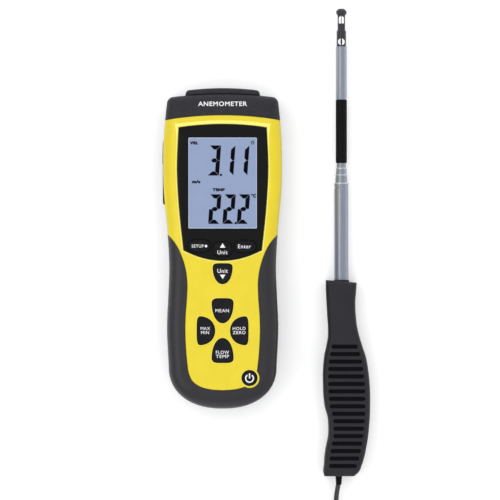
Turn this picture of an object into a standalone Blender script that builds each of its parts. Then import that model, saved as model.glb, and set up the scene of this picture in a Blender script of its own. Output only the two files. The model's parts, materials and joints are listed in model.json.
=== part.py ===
"""Hot-wire anemometer: a hand-held meter and its telescopic air probe, both lying on their backs.

Z is up, out of the display. Y runs towards the sensor end and X to the right, seen from above.
The origin is on the meter's flat back, on its centreline, half way along its length.
"""

import math

import bpy
import numpy as np

MM = 0.001
GAP = 0.3 * MM  # between pieces that touch in the real object

# ---- meter body ----
METER_LENGTH = 210 * MM
METER_DEPTH = 44 * MM
BLOCK_RISE = 3.8 * MM  # how far the socket block stands beyond the cap
BODY_TOP = METER_LENGTH / 2 - BLOCK_RISE
BODY_END = -METER_LENGTH / 2
AROUND = METER_LENGTH  # reach of a cutter that goes right past the object
TOP_DROP = 2.0 * MM  # sag of the arched top edge at its corners
TOP_CORNER = 4.5 * MM
END_HEIGHT = 28 * MM  # length of the rounded lower end
END_POWER = 2.25
WAIST = 35.0 * MM
HIP = 36.5 * MM
SHOULDER = 39.0 * MM
SIDE = (  # (distance along the body, half width) from the rounded end to the top corner
    (BODY_END + END_HEIGHT, 35.4 * MM),
    (-51 * MM, HIP),
    (-30 * MM, 35.6 * MM),
    (-13 * MM, WAIST),
    (4 * MM, 35.7 * MM),
    (24 * MM, 37.4 * MM),
    (40 * MM, 38.7 * MM),
    (57 * MM, SHOULDER),
    (71 * MM, 38.7 * MM),
    (BODY_TOP - 16.2 * MM, 37.6 * MM),
    (BODY_TOP - 0.2 * MM, 35.8 * MM),
)
BACK_ROUND = 5 * MM
FRONT_ROUND = 9 * MM  # width of the rounded front edge, seen from above
FRONT_FALL = 7 * MM  # height of the rounded front edge
SPLIT = METER_DEPTH - 24 * MM  # height of the joint between the two shells
WALL = 2.2 * MM
SKIN_LOW = 8 * MM  # lower edge of the cap and of the grip bumper

# ---- cap and grip bumper ----
CAP_WALL = 2.5 * MM
CAP_EDGE = BODY_TOP - 14 * MM  # its lower edge on the centreline
CAP_EDGE_DROP = 3.4 * MM
GRIP_WALL = 2.7 * MM
TONGUE = (  # right edge of the yellow front between the grips
    (50.0 * MM, 22.0 * MM),
    (35.9 * MM, 8.6 * MM),
    (31.9 * MM, 4.2 * MM),
    (28.9 * MM, -0.6 * MM),
    (26.4 * MM, -6.6 * MM),
    (24.4 * MM, -13.5 * MM),
    (23.3 * MM, -22.0 * MM),
    (23.5 * MM, -32.0 * MM),
    (24.3 * MM, -43.0 * MM),
    (24.6 * MM, -54.0 * MM),
    (24.1 * MM, -66.0 * MM),
    (23.3 * MM, BODY_END + 30.0 * MM),
    (22.2 * MM, BODY_END + 23.0 * MM),
    (19.8 * MM, BODY_END + 18.0 * MM),
    (14.7 * MM, BODY_END + 14.4 * MM),
    (8.0 * MM, BODY_END + 12.6 * MM),
    (0.0 * MM, BODY_END + 12.0 * MM),
)
POWER_RIM = 1.8 * MM  # yellow ring round the power key

# ---- display ----
LENS_TOP = 81.2 * MM
LENS_TOP_DROP = 2.2 * MM
LENS_TOP_HALF = 28.7 * MM
LENS_MID = (51.5 * MM, 29.7 * MM)
LENS_BOTTOM = -1.2 * MM
LENS_BOTTOM_HALF = 25.5 * MM
LENS_BOTTOM_SAG = 6.8 * MM
LENS_THICK = 1.1 * MM
GLASS_HALF = 22.7 * MM
GLASS_Y = (12.7 * MM, 72.7 * MM)
LCD_MARGIN = (1.6 * MM, 2.7 * MM)
LCD_THICK = 2.5 * MM
LIGHT_THICK = 3.2 * MM

# ---- board and keys ----
BOARD_TOP = METER_DEPTH - 9.1 * MM
BOARD_THICK = 1.6 * MM
BOARD_HALF = 24.8 * MM
BOARD_Y = (BODY_END + 17 * MM, BODY_TOP - 21.2 * MM)
BOARD_TAB = (33 * MM, 36 * MM, 52 * MM)  # reach and span of the tab that holds the data socket
MAT_THICK = 1.5 * MM
MAT_HALF = 23.4 * MM
MAT_Y = (BODY_END + 14.6 * MM, 8.4 * MM)
DOME_TOP = METER_DEPTH - 4.6 * MM
DOME_RADIUS = 3.0 * MM
KEY_TRAVEL = 0.8 * MM
KEY_PROUD = 0.7 * MM
PANEL_KEY_PROUD = 0.15 * MM
KEY_FLANGE = 0.8 * MM
KEY_FLANGE_THICK = 0.9 * MM
SHIELD_KEYS = (  # name, across, along its point, centre, quarter turns from pointing down
    ("key_down", 12.6 * MM, 13.1 * MM, (0.0, -16.6 * MM), 0),
    ("key_mean", 13.9 * MM, 15.8 * MM, (0.0, -40.8 * MM), 0),
    ("key_max_min", 18.5 * MM, 11.5 * MM, (-10.9 * MM, -53.9 * MM), 1),
    ("key_hold_zero", 18.5 * MM, 11.5 * MM, (10.9 * MM, -53.9 * MM), 3),
    ("key_flow_temp", 13.9 * MM, 15.8 * MM, (0.0, -66.8 * MM), 2),
)
PANEL_KEYS = (  # name, width, height, centre
    ("key_setup", 14.6 * MM, 8.0 * MM, (-15.2 * MM, 1.6 * MM)),
    ("key_up", 12.0 * MM, 9.6 * MM, (0.0, -0.6 * MM)),
    ("key_enter", 14.0 * MM, 8.0 * MM, (14.8 * MM, 1.2 * MM)),
)
POWER_AT = (17.6 * MM, BODY_END + 20.2 * MM)
POWER_WIDTH = 9.9 * MM

# ---- battery ----
BATTERY = (26.5 * MM, 48.5 * MM, 17.5 * MM)  # a nine volt block, 6LR61
BATTERY_START = BODY_END + 19 * MM
BATTERY_LOW = 2.5 * MM
TERMINAL_PITCH = 12.7 * MM
TERMINAL_HEIGHT = 2.4 * MM
SNAP_SIZE = (24.5 * MM, 3.9 * MM, 12 * MM)
BAY_CLEAR = 0.6 * MM
BAY_WALL = 1.5 * MM
DOOR_HALF = 19 * MM
DOOR_Y = (BATTERY_START - 8 * MM, BATTERY_START + 59 * MM)
DOOR_THICK = 1.9 * MM
DOOR_PAD = 1.9 * MM  # extra wall behind the door's edge
DOOR_SCREW_AT = (0.0, DOOR_Y[1] - 2.6 * MM)

# ---- screws ----
SCREW_HIGH = (31 * MM, BODY_TOP - 23.2 * MM)
SCREW_LOW = (28.8 * MM, BODY_END + 43 * MM)
SCREW_POINTS = tuple((side * x, y) for x, y in (SCREW_HIGH, SCREW_LOW) for side in (-1, 1))
POST_RADIUS = 3.1 * MM
REAR_POST_RADIUS = 3.8 * MM
SCREW_HEAD = (2.5 * MM, 1.8 * MM)
SCREW_SHANK = 1.2 * MM
SCREW_SEAT = 6 * MM
SCREW_END = METER_DEPTH - 13 * MM

# ---- sockets and side flap ----
BLOCK_HALF = 24.5 * MM
BLOCK_Z = (METER_DEPTH - 30 * MM, METER_DEPTH - 6 * MM)
BLOCK_DROP = 1.6 * MM
SOCKET_Z = sum(BLOCK_Z) / 2
NECK_RADIUS = 7 * MM
NECK_END = METER_LENGTH / 2 - 17 * MM
SOCKET_RADIUS = 5 * MM
SOCKET_BORE = 4.3 * MM
SOCKET_Y = (METER_LENGTH / 2 - 15 * MM, METER_LENGTH / 2 - 0.4 * MM)
INSERT_END = METER_LENGTH / 2 - 8.5 * MM
PIN_HOLE = 0.7 * MM
PIN_CIRCLE = 2.3 * MM
FLAP_Y = (28.5 * MM, 70.5 * MM)
FLAP_Z = (METER_DEPTH - 22.2 * MM, METER_DEPTH - 7.8 * MM)
FLAP_X = (-39.8 * MM, -37.4 * MM)
FLAP_PAD = 2.0 * MM
USB_SIZE = (9.2 * MM, 7.7 * MM, 3.9 * MM)
USB_Y = 44 * MM

# ---- probe handle ----
PROBE_X = 78.1 * MM
HANDLE_DEPTH = 25 * MM
PROBE_Z = HANDLE_DEPTH / 2
HANDLE_WALL = 2.0 * MM
HANDLE_ROUND = 3.4 * MM
HANDLE = (  # (distance along, left reach, right reach) from the cable end to the tube end
    (-149.6 * MM, 11.4 * MM, 8.6 * MM),
    (-147.5 * MM, 11.9 * MM, 11.0 * MM),
    (-142.5 * MM, 11.5 * MM, 13.4 * MM),
    (-136.0 * MM, 11.0 * MM, 15.3 * MM),
    (-129.5 * MM, 10.0 * MM, 16.6 * MM),
    (-124.0 * MM, 8.8 * MM, 17.5 * MM),
    (-117.0 * MM, 8.6 * MM, 18.2 * MM),
    (-110.5 * MM, 9.2 * MM, 18.7 * MM),
    (-105.0 * MM, 10.8 * MM, 18.8 * MM),
    (-99.5 * MM, 11.6 * MM, 18.9 * MM),
    (-90.0 * MM, 12.1 * MM, 18.6 * MM),
    (-80.0 * MM, 12.1 * MM, 17.6 * MM),
    (-72.0 * MM, 11.4 * MM, 16.2 * MM),
    (-64.5 * MM, 9.9 * MM, 13.8 * MM),
    (-58.0 * MM, 8.8 * MM, 11.8 * MM),
    (-52.0 * MM, 8.8 * MM, 10.4 * MM),
    (-44.0 * MM, 9.3 * MM, 9.4 * MM),
    (-35.0 * MM, 9.8 * MM, 9.1 * MM),
    (-27.0 * MM, 10.2 * MM, 9.7 * MM),
    (-22.0 * MM, 10.2 * MM, 10.0 * MM),
)
SLOT_COUNT = 17
SLOT_FIRST = -64.6 * MM
SLOT_PITCH = 4.9 * MM
SLOT_WIDTH = 2.3 * MM
SLOT_DEPTH = 1.1 * MM
SLOT_INSET = 3.6 * MM
HANDLE_SCREWS = (
    (PROBE_X + 12.4 * MM, -82 * MM),
    (PROBE_X + 12.4 * MM, -108 * MM),
    (PROBE_X - 6.6 * MM, -133 * MM),
)
HANDLE_POST = 3.0 * MM
HANDLE_SCREW_HEAD = (1.8 * MM, 1.4 * MM)
HANDLE_SCREW_SHANK = 1.0 * MM
HANDLE_SEAT = 4 * MM
HANDLE_SCREW_END = 18 * MM
RIB_Y = (-34 * MM, -100 * MM)
RIB_THICK = 2 * MM
PROBE_BOARD = (14 * MM, 16 * MM, 1.2 * MM)
PROBE_BOARD_AT = (PROBE_X + 4.6 * MM, -130.5 * MM, PROBE_Z)

# ---- telescopic tubes ----
TUBE_WALL = 0.25 * MM
TUBE_GAP = 0.15 * MM
TUBE_A_RADIUS = 3.1 * MM
TUBE_B_RADIUS = TUBE_A_RADIUS + TUBE_GAP + TUBE_WALL
TUBE_C_RADIUS = TUBE_B_RADIUS + TUBE_GAP + TUBE_WALL
OUTER_BORE = TUBE_C_RADIUS + TUBE_GAP
OUTER_RADIUS = OUTER_BORE + 0.55 * MM
OUTER_Y = (-118 * MM, 43.3 * MM)
TUBE_C_Y = (-116.5 * MM, 48.8 * MM)
TUBE_B_Y = (-115 * MM, 53.2 * MM)
TUBE_A_Y = (-113.5 * MM, 132.7 * MM)
CRIMP = 0.35 * MM  # rolled edge at the outer tube's mouth
TUBE_CRIMP = 0.1 * MM

# ---- sensor end ----
SLEEVE_Y = (56.2 * MM, 97.9 * MM)
SLEEVE_RADIUS = TUBE_A_RADIUS + 0.6 * MM
SLEEVE_EDGE = 0.2 * MM
GUARD_Y = (98.2 * MM, 133.0 * MM)
GUARD_BORE = TUBE_A_RADIUS + 0.2 * MM
GUARD_RADIUS = GUARD_BORE + 0.2 * MM
GUARD_TRAVEL = 20 * MM
HEAD_BODY_Y = (133.1 * MM, 143.1 * MM)
HEAD_BODY_RADIUS = TUBE_A_RADIUS + 0.02 * MM
HEAD_STEM_RADIUS = TUBE_A_RADIUS - TUBE_WALL - 0.25 * MM
HEAD_STEM_END = 122 * MM
HEAD_NECK_RADIUS = 2.5 * MM
HEAD_NECK_END = 153.4 * MM
HEAD_CAP_RADIUS = 3.5 * MM
HEAD_END = 157.9 * MM
WINDOW_Y = (148.1 * MM, 153.1 * MM)
WINDOW_WIDTH = 3.4 * MM
EYE_Y = 136.1 * MM
EYE_RADIUS = 2.25 * MM
SENSOR_RADIUS = 0.4 * MM
SENSOR_BORE = 0.75 * MM

# ---- cable, coil and plug ----
CABLE_RADIUS = 1.6 * MM
CABLE_X = 76.4 * MM
GROMMET_Y = (-150 * MM, -143.5 * MM)
GROMMET_RADIUS = 3.0 * MM
COIL_AT = (58 * MM, -196 * MM)
COIL_RADIUS = 17.6 * MM
COIL_HALF = (6.0 * MM, 6.4 * MM)
CABLE_ROUTE = (
    (76.4 * MM, -146.0 * MM, 12.5 * MM),
    (76.2 * MM, -151.0 * MM, 12.5 * MM),
    (75.4 * MM, -157.0 * MM, 11.3 * MM),
    (74.8 * MM, -163.0 * MM, 8.2 * MM),
    (74.8 * MM, -169.0 * MM, 4.6 * MM),
    (75.2 * MM, -174.0 * MM, 3.4 * MM),
    (75.5 * MM, -177.0 * MM, 3.2 * MM),
)
PLUG_AT = (20 * MM, -207 * MM, 5.6 * MM)
PLUG_GRIP = (5.5 * MM, 24 * MM)
PLUG_SHELL = (4.1 * MM, 9 * MM)

TURN_STEPS = 24
SMALLEST_CHANGE = 2e-11  # cubic metres; a Boolean that changes less did nothing

PARTS = None
MATERIALS = {}


# ================= helpers =================


def clear_scene():
    for obj in list(bpy.data.objects):
        bpy.data.objects.remove(obj, do_unlink=True)


def start_collection():
    global PARTS
    PARTS = bpy.data.collections.new("hot_wire_anemometer")
    bpy.context.scene.collection.children.link(PARTS)


def add_material(name, colour, roughness, metallic=0.0):
    made = bpy.data.materials.new(name)
    made.use_nodes = True
    shader = made.node_tree.nodes["Principled BSDF"]
    shader.inputs["Base Color"].default_value = (*colour, 1.0)
    shader.inputs["Roughness"].default_value = roughness
    shader.inputs["Metallic"].default_value = metallic
    MATERIALS[name] = made


def dress(obj, material):
    obj.data.materials.clear()
    obj.data.materials.append(MATERIALS[material])
    if obj.type == "MESH":
        obj.data.polygons.foreach_set("material_index", [0] * len(obj.data.polygons))


def solid(name, points, faces, material):
    """One closed mesh object whose faces look outwards."""
    mesh = bpy.data.meshes.new(name)
    mesh.from_pydata([tuple(p) for p in points], [], faces)
    obj = bpy.data.objects.new(name, mesh)
    PARTS.objects.link(obj)
    if volume_of(obj) < 0:
        mesh.flip_normals()
    dress(obj, material)
    return obj


def volume_of(obj):
    obj.data.calc_loop_triangles()
    co = np.array([v.co[:] for v in obj.data.vertices])
    tri = np.array([t.vertices[:] for t in obj.data.loop_triangles])
    a, b, c = co[tri[:, 0]], co[tri[:, 1]], co[tri[:, 2]]
    return float((a * np.cross(b, c)).sum() / 6)


def loft(name, rings, material):
    """A closed body through rings of equally many points, with flat ends."""
    count = len(rings[0])
    points = [p for ring in rings for p in ring]
    faces = []
    for level in range(len(rings) - 1):
        low = level * count
        for k in range(count):
            after = (k + 1) % count
            faces.append((low + k, low + after, low + count + after, low + count + k))
    faces.append(tuple(reversed(range(count))))
    faces.append(tuple(range(len(points) - count, len(points))))
    return solid(name, points, faces, material)


def prism(name, outline, low, high, material="dark"):
    """An outline in X and Y, raised from low to high."""
    rings = [[(x, y, z) for x, y in outline] for z in (low, high)]
    return loft(name, rings, material)


def box(name, x, y, z, material="dark"):
    outline = [(x[0], y[0]), (x[1], y[0]), (x[1], y[1]), (x[0], y[1])]
    return prism(name, outline, z[0], z[1], material)


def turned(name, profile, place, material="dark", along="Y", steps=TURN_STEPS):
    """A turned body: (radius, height) points down its outer side, then back up its bore if it has one."""
    mesh = bpy.data.meshes.new(name)
    on_axis = profile[0][0] == 0
    edges = [(k, k + 1) for k in range(len(profile) - 1)]
    if not on_axis:
        edges.append((len(profile) - 1, 0))
    mesh.from_pydata([(r, 0.0, h) for r, h in profile], edges, [])
    obj = bpy.data.objects.new(name, mesh)
    PARTS.objects.link(obj)
    spin = obj.modifiers.new("spin", "SCREW")
    spin.steps = steps
    spin.render_steps = steps
    spin.use_merge_vertices = True
    spin.merge_threshold = 0.00001
    settle(obj)
    tilt = {"Y": -math.pi / 2, "Z": 0.0}[along]
    turn = np.array([[1, 0, 0], [0, math.cos(tilt), -math.sin(tilt)], [0, math.sin(tilt), math.cos(tilt)]])
    for vertex in obj.data.vertices:
        vertex.co = turn @ np.array(vertex.co[:]) + np.array(place)
    if volume_of(obj) < 0:
        obj.data.flip_normals()
    dress(obj, material)
    return obj


def rod(name, radius, low, high, place, material="dark", along="Y", steps=TURN_STEPS):
    """A plain cylinder; place holds the two coordinates off its axis."""
    at = (place[0], 0.0, place[1]) if along == "Y" else (place[0], place[1], 0.0)
    return turned(name, [(0, high), (radius, high), (radius, low), (0, low)], at, material, along, steps)


def tube(name, radius, bore, low, high, place, material, crimp=0.0):
    profile = [
        (bore, high),
        (radius - crimp, high),
        (radius, high - 2 * crimp) if crimp else (radius, high - 0.1 * MM),
        (radius, low),
        (bore, low),
    ]
    return turned(name, profile, (place[0], 0.0, place[1]), material)


def settle(obj):
    """Replaces the object's mesh by what its modifiers make of it."""
    graph = bpy.context.evaluated_depsgraph_get()
    mesh = bpy.data.meshes.new_from_object(obj.evaluated_get(graph), depsgraph=graph)
    obj.modifiers.clear()
    old = obj.data
    obj.data = mesh
    mesh.name = obj.name
    bpy.data.meshes.remove(old)


def combine(target, other, operation, keep=False):
    before = volume_of(target)
    step = target.modifiers.new(operation.lower(), "BOOLEAN")
    step.operation = operation
    step.solver = "EXACT"
    step.object = other
    settle(target)
    if abs(volume_of(target) - before) < SMALLEST_CHANGE:
        raise ValueError(f"{other.name} changed nothing in {target.name}")
    if not keep:
        bpy.data.objects.remove(other, do_unlink=True)
    return target


def cut(target, other, keep=False):
    return combine(target, other, "DIFFERENCE", keep)


def join(target, other):
    return combine(target, other, "UNION")


def common(target, other):
    return combine(target, other, "INTERSECT")


def centre_on(obj, place):
    """Moves the object's origin to its joint axis without moving its shape."""
    for vertex in obj.data.vertices:
        vertex.co = np.array(vertex.co[:]) - np.array(place)
    obj.location = place


def blended(stations, at, column):
    """A smooth value between design stations, by cubic steps with averaged slopes."""
    xs = [s[0] for s in stations]
    ys = [s[column] for s in stations]
    at = min(max(at, xs[0]), xs[-1])
    k = min(int(np.searchsorted(xs, at, side="right")) - 1, len(xs) - 2)
    slopes = np.gradient(ys, xs)
    span = xs[k + 1] - xs[k]
    t = (at - xs[k]) / span
    return (
        (2 * t**3 - 3 * t**2 + 1) * ys[k]
        + (t**3 - 2 * t**2 + t) * span * slopes[k]
        + (3 * t**2 - 2 * t**3) * ys[k + 1]
        + (t**3 - t**2) * span * slopes[k + 1]
    )


def smooth_line(points, count):
    """A smooth open line through 2-D or 3-D points."""
    points = np.array(points, float)
    steps = np.concatenate([[0], np.cumsum(np.linalg.norm(np.diff(points, axis=0), axis=1))])
    table = [(s, *p) for s, p in zip(steps, points)]
    wanted = np.linspace(0, steps[-1], count)
    return [tuple(blended(table, s, c + 1) for c in range(points.shape[1])) for s in wanted]


def shifted(line, distance):
    """An open 2-D line moved to its left by the distance."""
    line = np.array(line, float)
    along = np.gradient(line, axis=0)
    along /= np.linalg.norm(along, axis=1)[:, None]
    return line + distance * np.stack([-along[:, 1], along[:, 0]], axis=1)


# ================= meter outlines =================


def body_outline(inset):
    """The meter's outline, drawn in by inset on every side."""
    right = []
    for k in range(9):
        turn = math.pi / 2 * k / 9
        x = (SIDE[0][1] - inset) * math.sin(turn) ** (2 / END_POWER)
        y = BODY_END + END_HEIGHT - (END_HEIGHT - inset) * math.cos(turn) ** (2 / END_POWER)
        right.append((x, y))
    radius = max(TOP_CORNER - inset, 0.8 * MM)
    corner_y = BODY_TOP - TOP_DROP - inset - radius
    for y in np.linspace(SIDE[0][0], corner_y, 14):
        right.append((blended(SIDE, y, 1) - inset, y))
    corner_x = right[-1][0] - radius
    for k in range(1, 4):
        turn = math.pi / 2 * k / 4
        right.append((corner_x + radius * math.cos(turn), corner_y + radius * math.sin(turn)))
    for x in np.linspace(corner_x, 0, 5):
        right.append((x, BODY_TOP - inset - TOP_DROP * (x / corner_x) ** 2))
    left = [(-x, y) for x, y in right[-2:0:-1]]
    return right + left


def body_form(name, inset):
    """The meter's whole outer form, drawn in by inset."""
    back = max(BACK_ROUND - inset, 0.4 * MM)
    wide = max(FRONT_ROUND - inset, 0.4 * MM)
    fall = max(FRONT_FALL - inset, 0.4 * MM)
    rings = []
    for k in range(3):
        turn = math.pi / 2 * k / 2
        height = inset + back * (1 - math.cos(turn))
        rings.append((height, inset + back * (1 - math.sin(turn))))
    for k in range(5):
        turn = math.pi / 2 * k / 4
        height = METER_DEPTH - inset - fall * (1 - math.sin(turn))
        rings.append((height, inset + wide * (1 - math.cos(turn))))
    return loft(name, [[(x, y, z) for x, y in body_outline(d)] for z, d in rings], "dark")


def cap_zone(name, grow):
    """Everything beyond the cap's lower edge, made larger by grow."""
    wide = 60 * MM
    edge = []
    for x in np.linspace(-wide, wide, 19):
        edge.append((x, CAP_EDGE - grow - CAP_EDGE_DROP * min(abs(x) / SHOULDER, 1.2) ** 2))
    return prism(name, edge + [(wide, AROUND), (-wide, AROUND)], SKIN_LOW - grow, AROUND)


def grip_zone(name, grow):
    """Everything outside the yellow tongue, made larger by grow."""
    edge = [tuple(p) for p in shifted(smooth_line(TONGUE, 28), -grow)]
    edge[-1] = (0.0, edge[-1][1])
    left = [(-x, y) for x, y in edge[-2::-1]]
    line = [(60 * MM, edge[0][1])] + edge + left + [(-60 * MM, edge[0][1])]
    zone = prism(name, line + [(-60 * MM, -AROUND), (60 * MM, -AROUND)], SKIN_LOW - grow, AROUND)
    island = rod("island", POWER_WIDTH / 2 + POWER_RIM - grow, 0, 2 * AROUND, POWER_AT, along="Z")
    return cut(zone, island)


def shell_form(name, inset):
    """The form that both shells share: stepped down where the cap and the bumper lie on it."""
    form = body_form(name, inset)
    for zone, wall in ((cap_zone, CAP_WALL), (grip_zone, GRIP_WALL)):
        step = zone("step", GAP + inset)
        cut(step, body_form("core", wall + GAP + inset))
        cut(form, step)
    return form


def skin(name, zone, wall, material):
    made = body_form(name, 0)
    cut(made, body_form("core", wall))
    common(made, zone("zone", 0))
    dress(made, material)
    return made


def lens_outline(grow):
    """The black display window, made larger by grow."""
    table = (
        (LENS_BOTTOM, LENS_BOTTOM_HALF),
        (LENS_BOTTOM + 28 * MM, LENS_BOTTOM_HALF + 2.9 * MM),
        LENS_MID,
        (LENS_TOP - LENS_TOP_DROP, LENS_TOP_HALF),
    )
    right = []
    for x in np.linspace(0, LENS_BOTTOM_HALF, 8)[:-1]:
        sag = LENS_BOTTOM_SAG * (1 - (x / LENS_BOTTOM_HALF) ** 2)
        right.append((x, LENS_BOTTOM - grow - sag))
    for y in np.linspace(LENS_BOTTOM, LENS_TOP - LENS_TOP_DROP, 10):
        end = {LENS_BOTTOM: -grow, LENS_TOP - LENS_TOP_DROP: grow}.get(y, 0.0)
        right.append((blended(table, y, 1) + grow, y + end))
    for x in np.linspace(LENS_TOP_HALF, 0, 8)[1:]:
        right.append((x, LENS_TOP + grow - LENS_TOP_DROP * (x / LENS_TOP_HALF) ** 2))
    return right + [(-x, y) for x, y in right[-2:0:-1]]


# ================= keys =================


def shield(across, along, turns, grow):
    """A key outline with a gently arched back and a round point."""
    steps = 10
    right = []
    for k in range(steps + 1):
        down = (1 - math.cos(math.pi * k / steps)) / 2
        back = (1 - (1 - min(down / 0.3, 1)) ** 4) ** 0.25
        point = max(1 - down**2.6, 0.0) ** 0.5
        right.append(((across / 2 + grow) * back * point, (along / 2 + grow) * (1 - 2 * down)))
    outline = right + [(-x, y) for x, y in right[-2:0:-1]]
    turn = math.pi / 2 * turns
    cos, sin = round(math.cos(turn)), round(math.sin(turn))
    return [(x * cos - y * sin, x * sin + y * cos) for x, y in outline]


def rounded(width, height, grow):
    """A soft-cornered key outline."""
    outline = []
    for k in range(20):
        turn = 2 * math.pi * k / 20
        cos, sin = math.cos(turn), math.sin(turn)
        x = (width / 2 + grow) * math.copysign(abs(cos) ** 0.75, cos)
        y = (height / 2 + grow) * math.copysign(abs(sin) ** 0.75, sin)
        outline.append((x, y))
    return outline


def key_plans():
    """(name, outline for a growth, centre, height of its top) of every key."""
    plans = []
    for name, across, along, at, turns in SHIELD_KEYS:
        plans.append((name, lambda g, a=across, b=along, t=turns: shield(a, b, t, g), at, KEY_PROUD))
    for name, width, height, at in PANEL_KEYS:
        plans.append((name, lambda g, w=width, h=height: rounded(w, h, g), at, PANEL_KEY_PROUD))
    plans.append(("key_power", lambda g: ring_points(POWER_WIDTH / 2 + g, 20), POWER_AT, KEY_PROUD))
    return plans


def ring_points(radius, count):
    turns = [2 * math.pi * k / count for k in range(count)]
    return [(radius * math.cos(t), radius * math.sin(t)) for t in turns]


def placed(outline, at):
    return [(x + at[0], y + at[1]) for x, y in outline]


def key_floor():
    return METER_DEPTH - WALL - GAP - KEY_FLANGE_THICK


def add_keys():
    for name, outline, at, proud in key_plans():
        top = METER_DEPTH + proud
        low = key_floor()
        levels = (
            (low, KEY_FLANGE),
            (low + KEY_FLANGE_THICK, KEY_FLANGE),
            (low + KEY_FLANGE_THICK, 0),
            (top - 0.3 * MM, 0),
            (top, -0.4 * MM),
        )
        rings = [[(x, y, z) for x, y in placed(outline(g), at)] for z, g in levels]
        centre_on(loft(name, rings, "key_rubber"), (at[0], at[1], low))


# ================= meter shells =================


def add_front_shell():
    shell = shell_form("front_shell", 0)
    cut(shell, shell_form("cavity", WALL))
    for at in SCREW_POINTS:
        step = GRIP_WALL + GAP if at[1] < 0 else 0.0
        roof = METER_DEPTH - step - WALL + 0.4 * MM
        join(shell, rod("post", POST_RADIUS, SPLIT - 4 * MM, roof, at, along="Z"))
    pad_x = (FLAP_X[1] - 0.4 * MM, FLAP_X[1] + FLAP_PAD)
    join(shell, box("pad", pad_x, widened(FLAP_Y, 3 * MM), (SPLIT - 4 * MM, METER_DEPTH - 3 * MM)))
    cut(shell, box("below", (-AROUND, AROUND), (-AROUND, AROUND), (-AROUND, SPLIT + GAP / 2)))
    for at in SCREW_POINTS:
        cut(shell, rod("pilot", SCREW_SHANK + GAP, 0, SCREW_END + 2 * MM, at, along="Z"))
    cut(shell, box("recess", (-0.06, FLAP_X[1] + GAP), widened(FLAP_Y), widened(FLAP_Z)))
    port_y = (USB_Y - USB_SIZE[1] / 2 - GAP, USB_Y + USB_SIZE[1] / 2 + GAP)
    cut(shell, box("port", (-0.06, -0.03), port_y, widened(usb_heights())))
    cut(shell, prism("lens_seat", lens_outline(GAP), METER_DEPTH - LENS_THICK - GAP, AROUND))
    window_x = (-GLASS_HALF - GAP, GLASS_HALF + GAP)
    cut(shell, box("window", window_x, widened(GLASS_Y), (METER_DEPTH - 14 * MM, AROUND)))
    for name, outline, at, proud in key_plans():
        cut(shell, prism("hole", placed(outline(GAP), at), METER_DEPTH - 4 * MM, AROUND))
    room = POWER_WIDTH / 2 + KEY_FLANGE + GAP
    cut(shell, rod("flange_room", room, METER_DEPTH - 14 * MM, METER_DEPTH - WALL, POWER_AT, along="Z"))
    cut(shell, neck_hole())
    dress(shell, "yellow_abs")


def widened(span, by=GAP):
    return (span[0] - by, span[1] + by)


def neck_hole():
    return rod("neck_hole", NECK_RADIUS + GAP, NECK_END - 8 * MM, AROUND, (0.0, SOCKET_Z))


def add_rear_shell():
    shell = shell_form("rear_shell", 0)
    cut(shell, shell_form("cavity", WALL))
    for at in SCREW_POINTS:
        join(shell, rod("post", REAR_POST_RADIUS, WALL - 0.4 * MM, SPLIT + 4 * MM, at, along="Z"))
    pad_x = (-DOOR_HALF - 3 * MM, DOOR_HALF + 3 * MM)
    join(shell, box("pad", pad_x, widened(DOOR_Y, 2 * MM), (WALL - 0.4 * MM, WALL + DOOR_PAD)))
    join(shell, box("bay", bay_x(BAY_WALL), bay_y(BAY_WALL), (WALL + 0.5 * MM, SPLIT - 0.6 * MM)))
    cut(shell, box("above", (-AROUND, AROUND), (-AROUND, AROUND), (SPLIT - GAP / 2, AROUND)))
    for at in SCREW_POINTS:
        cut(shell, screw_room(at, SCREW_HEAD[0], SCREW_SHANK, SCREW_SEAT, 0.03))
    cut(shell, box("bay_room", bay_x(0), bay_y(0), (-0.01, 0.03)))
    door_x = (-DOOR_HALF - GAP, DOOR_HALF + GAP)
    cut(shell, box("door_seat", door_x, widened(DOOR_Y), (-0.01, DOOR_THICK + GAP)))
    cut(shell, rod("door_pilot", SCREW_SHANK + GAP, 0, 0.01, DOOR_SCREW_AT, along="Z"))
    cut(shell, neck_hole())
    dress(shell, "dark_abs")


def screw_room(at, head, shank, seat, end, low=-0.01):
    """The stepped hole that a screw drops into from below."""
    profile = [
        (0, end),
        (shank + GAP, end),
        (shank + GAP, seat),
        (head + GAP, seat),
        (head + GAP, low),
        (0, low),
    ]
    return turned("screw_room", profile, (at[0], at[1], 0), along="Z", steps=16)


def bay_x(wall):
    half = BATTERY[0] / 2 + BAY_CLEAR + wall
    return (-half, half)


def bay_y(wall):
    end = BATTERY_START + BATTERY[1] + SNAP_SIZE[1]
    return (BATTERY_START - BAY_CLEAR - wall, end + BAY_CLEAR + wall)


def add_cap():
    cap = skin("top_cap", cap_zone, CAP_WALL, "dark_abs")
    cut(cap, neck_hole())


def add_bumper():
    skin("grip_bumper", grip_zone, GRIP_WALL, "grip_rubber")


def add_side_flap():
    flap = box("side_flap", FLAP_X, FLAP_Y, FLAP_Z, "grip_rubber")
    bevel = flap.modifiers.new("edges", "BEVEL")
    bevel.width = 0.6 * MM
    bevel.segments = 2
    settle(flap)
    dress(flap, "grip_rubber")
    centre_on(flap, (FLAP_X[0] + 0.3 * MM, sum(FLAP_Y) / 2, FLAP_Z[0] + 0.3 * MM))


# ================= meter sockets =================


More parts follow.
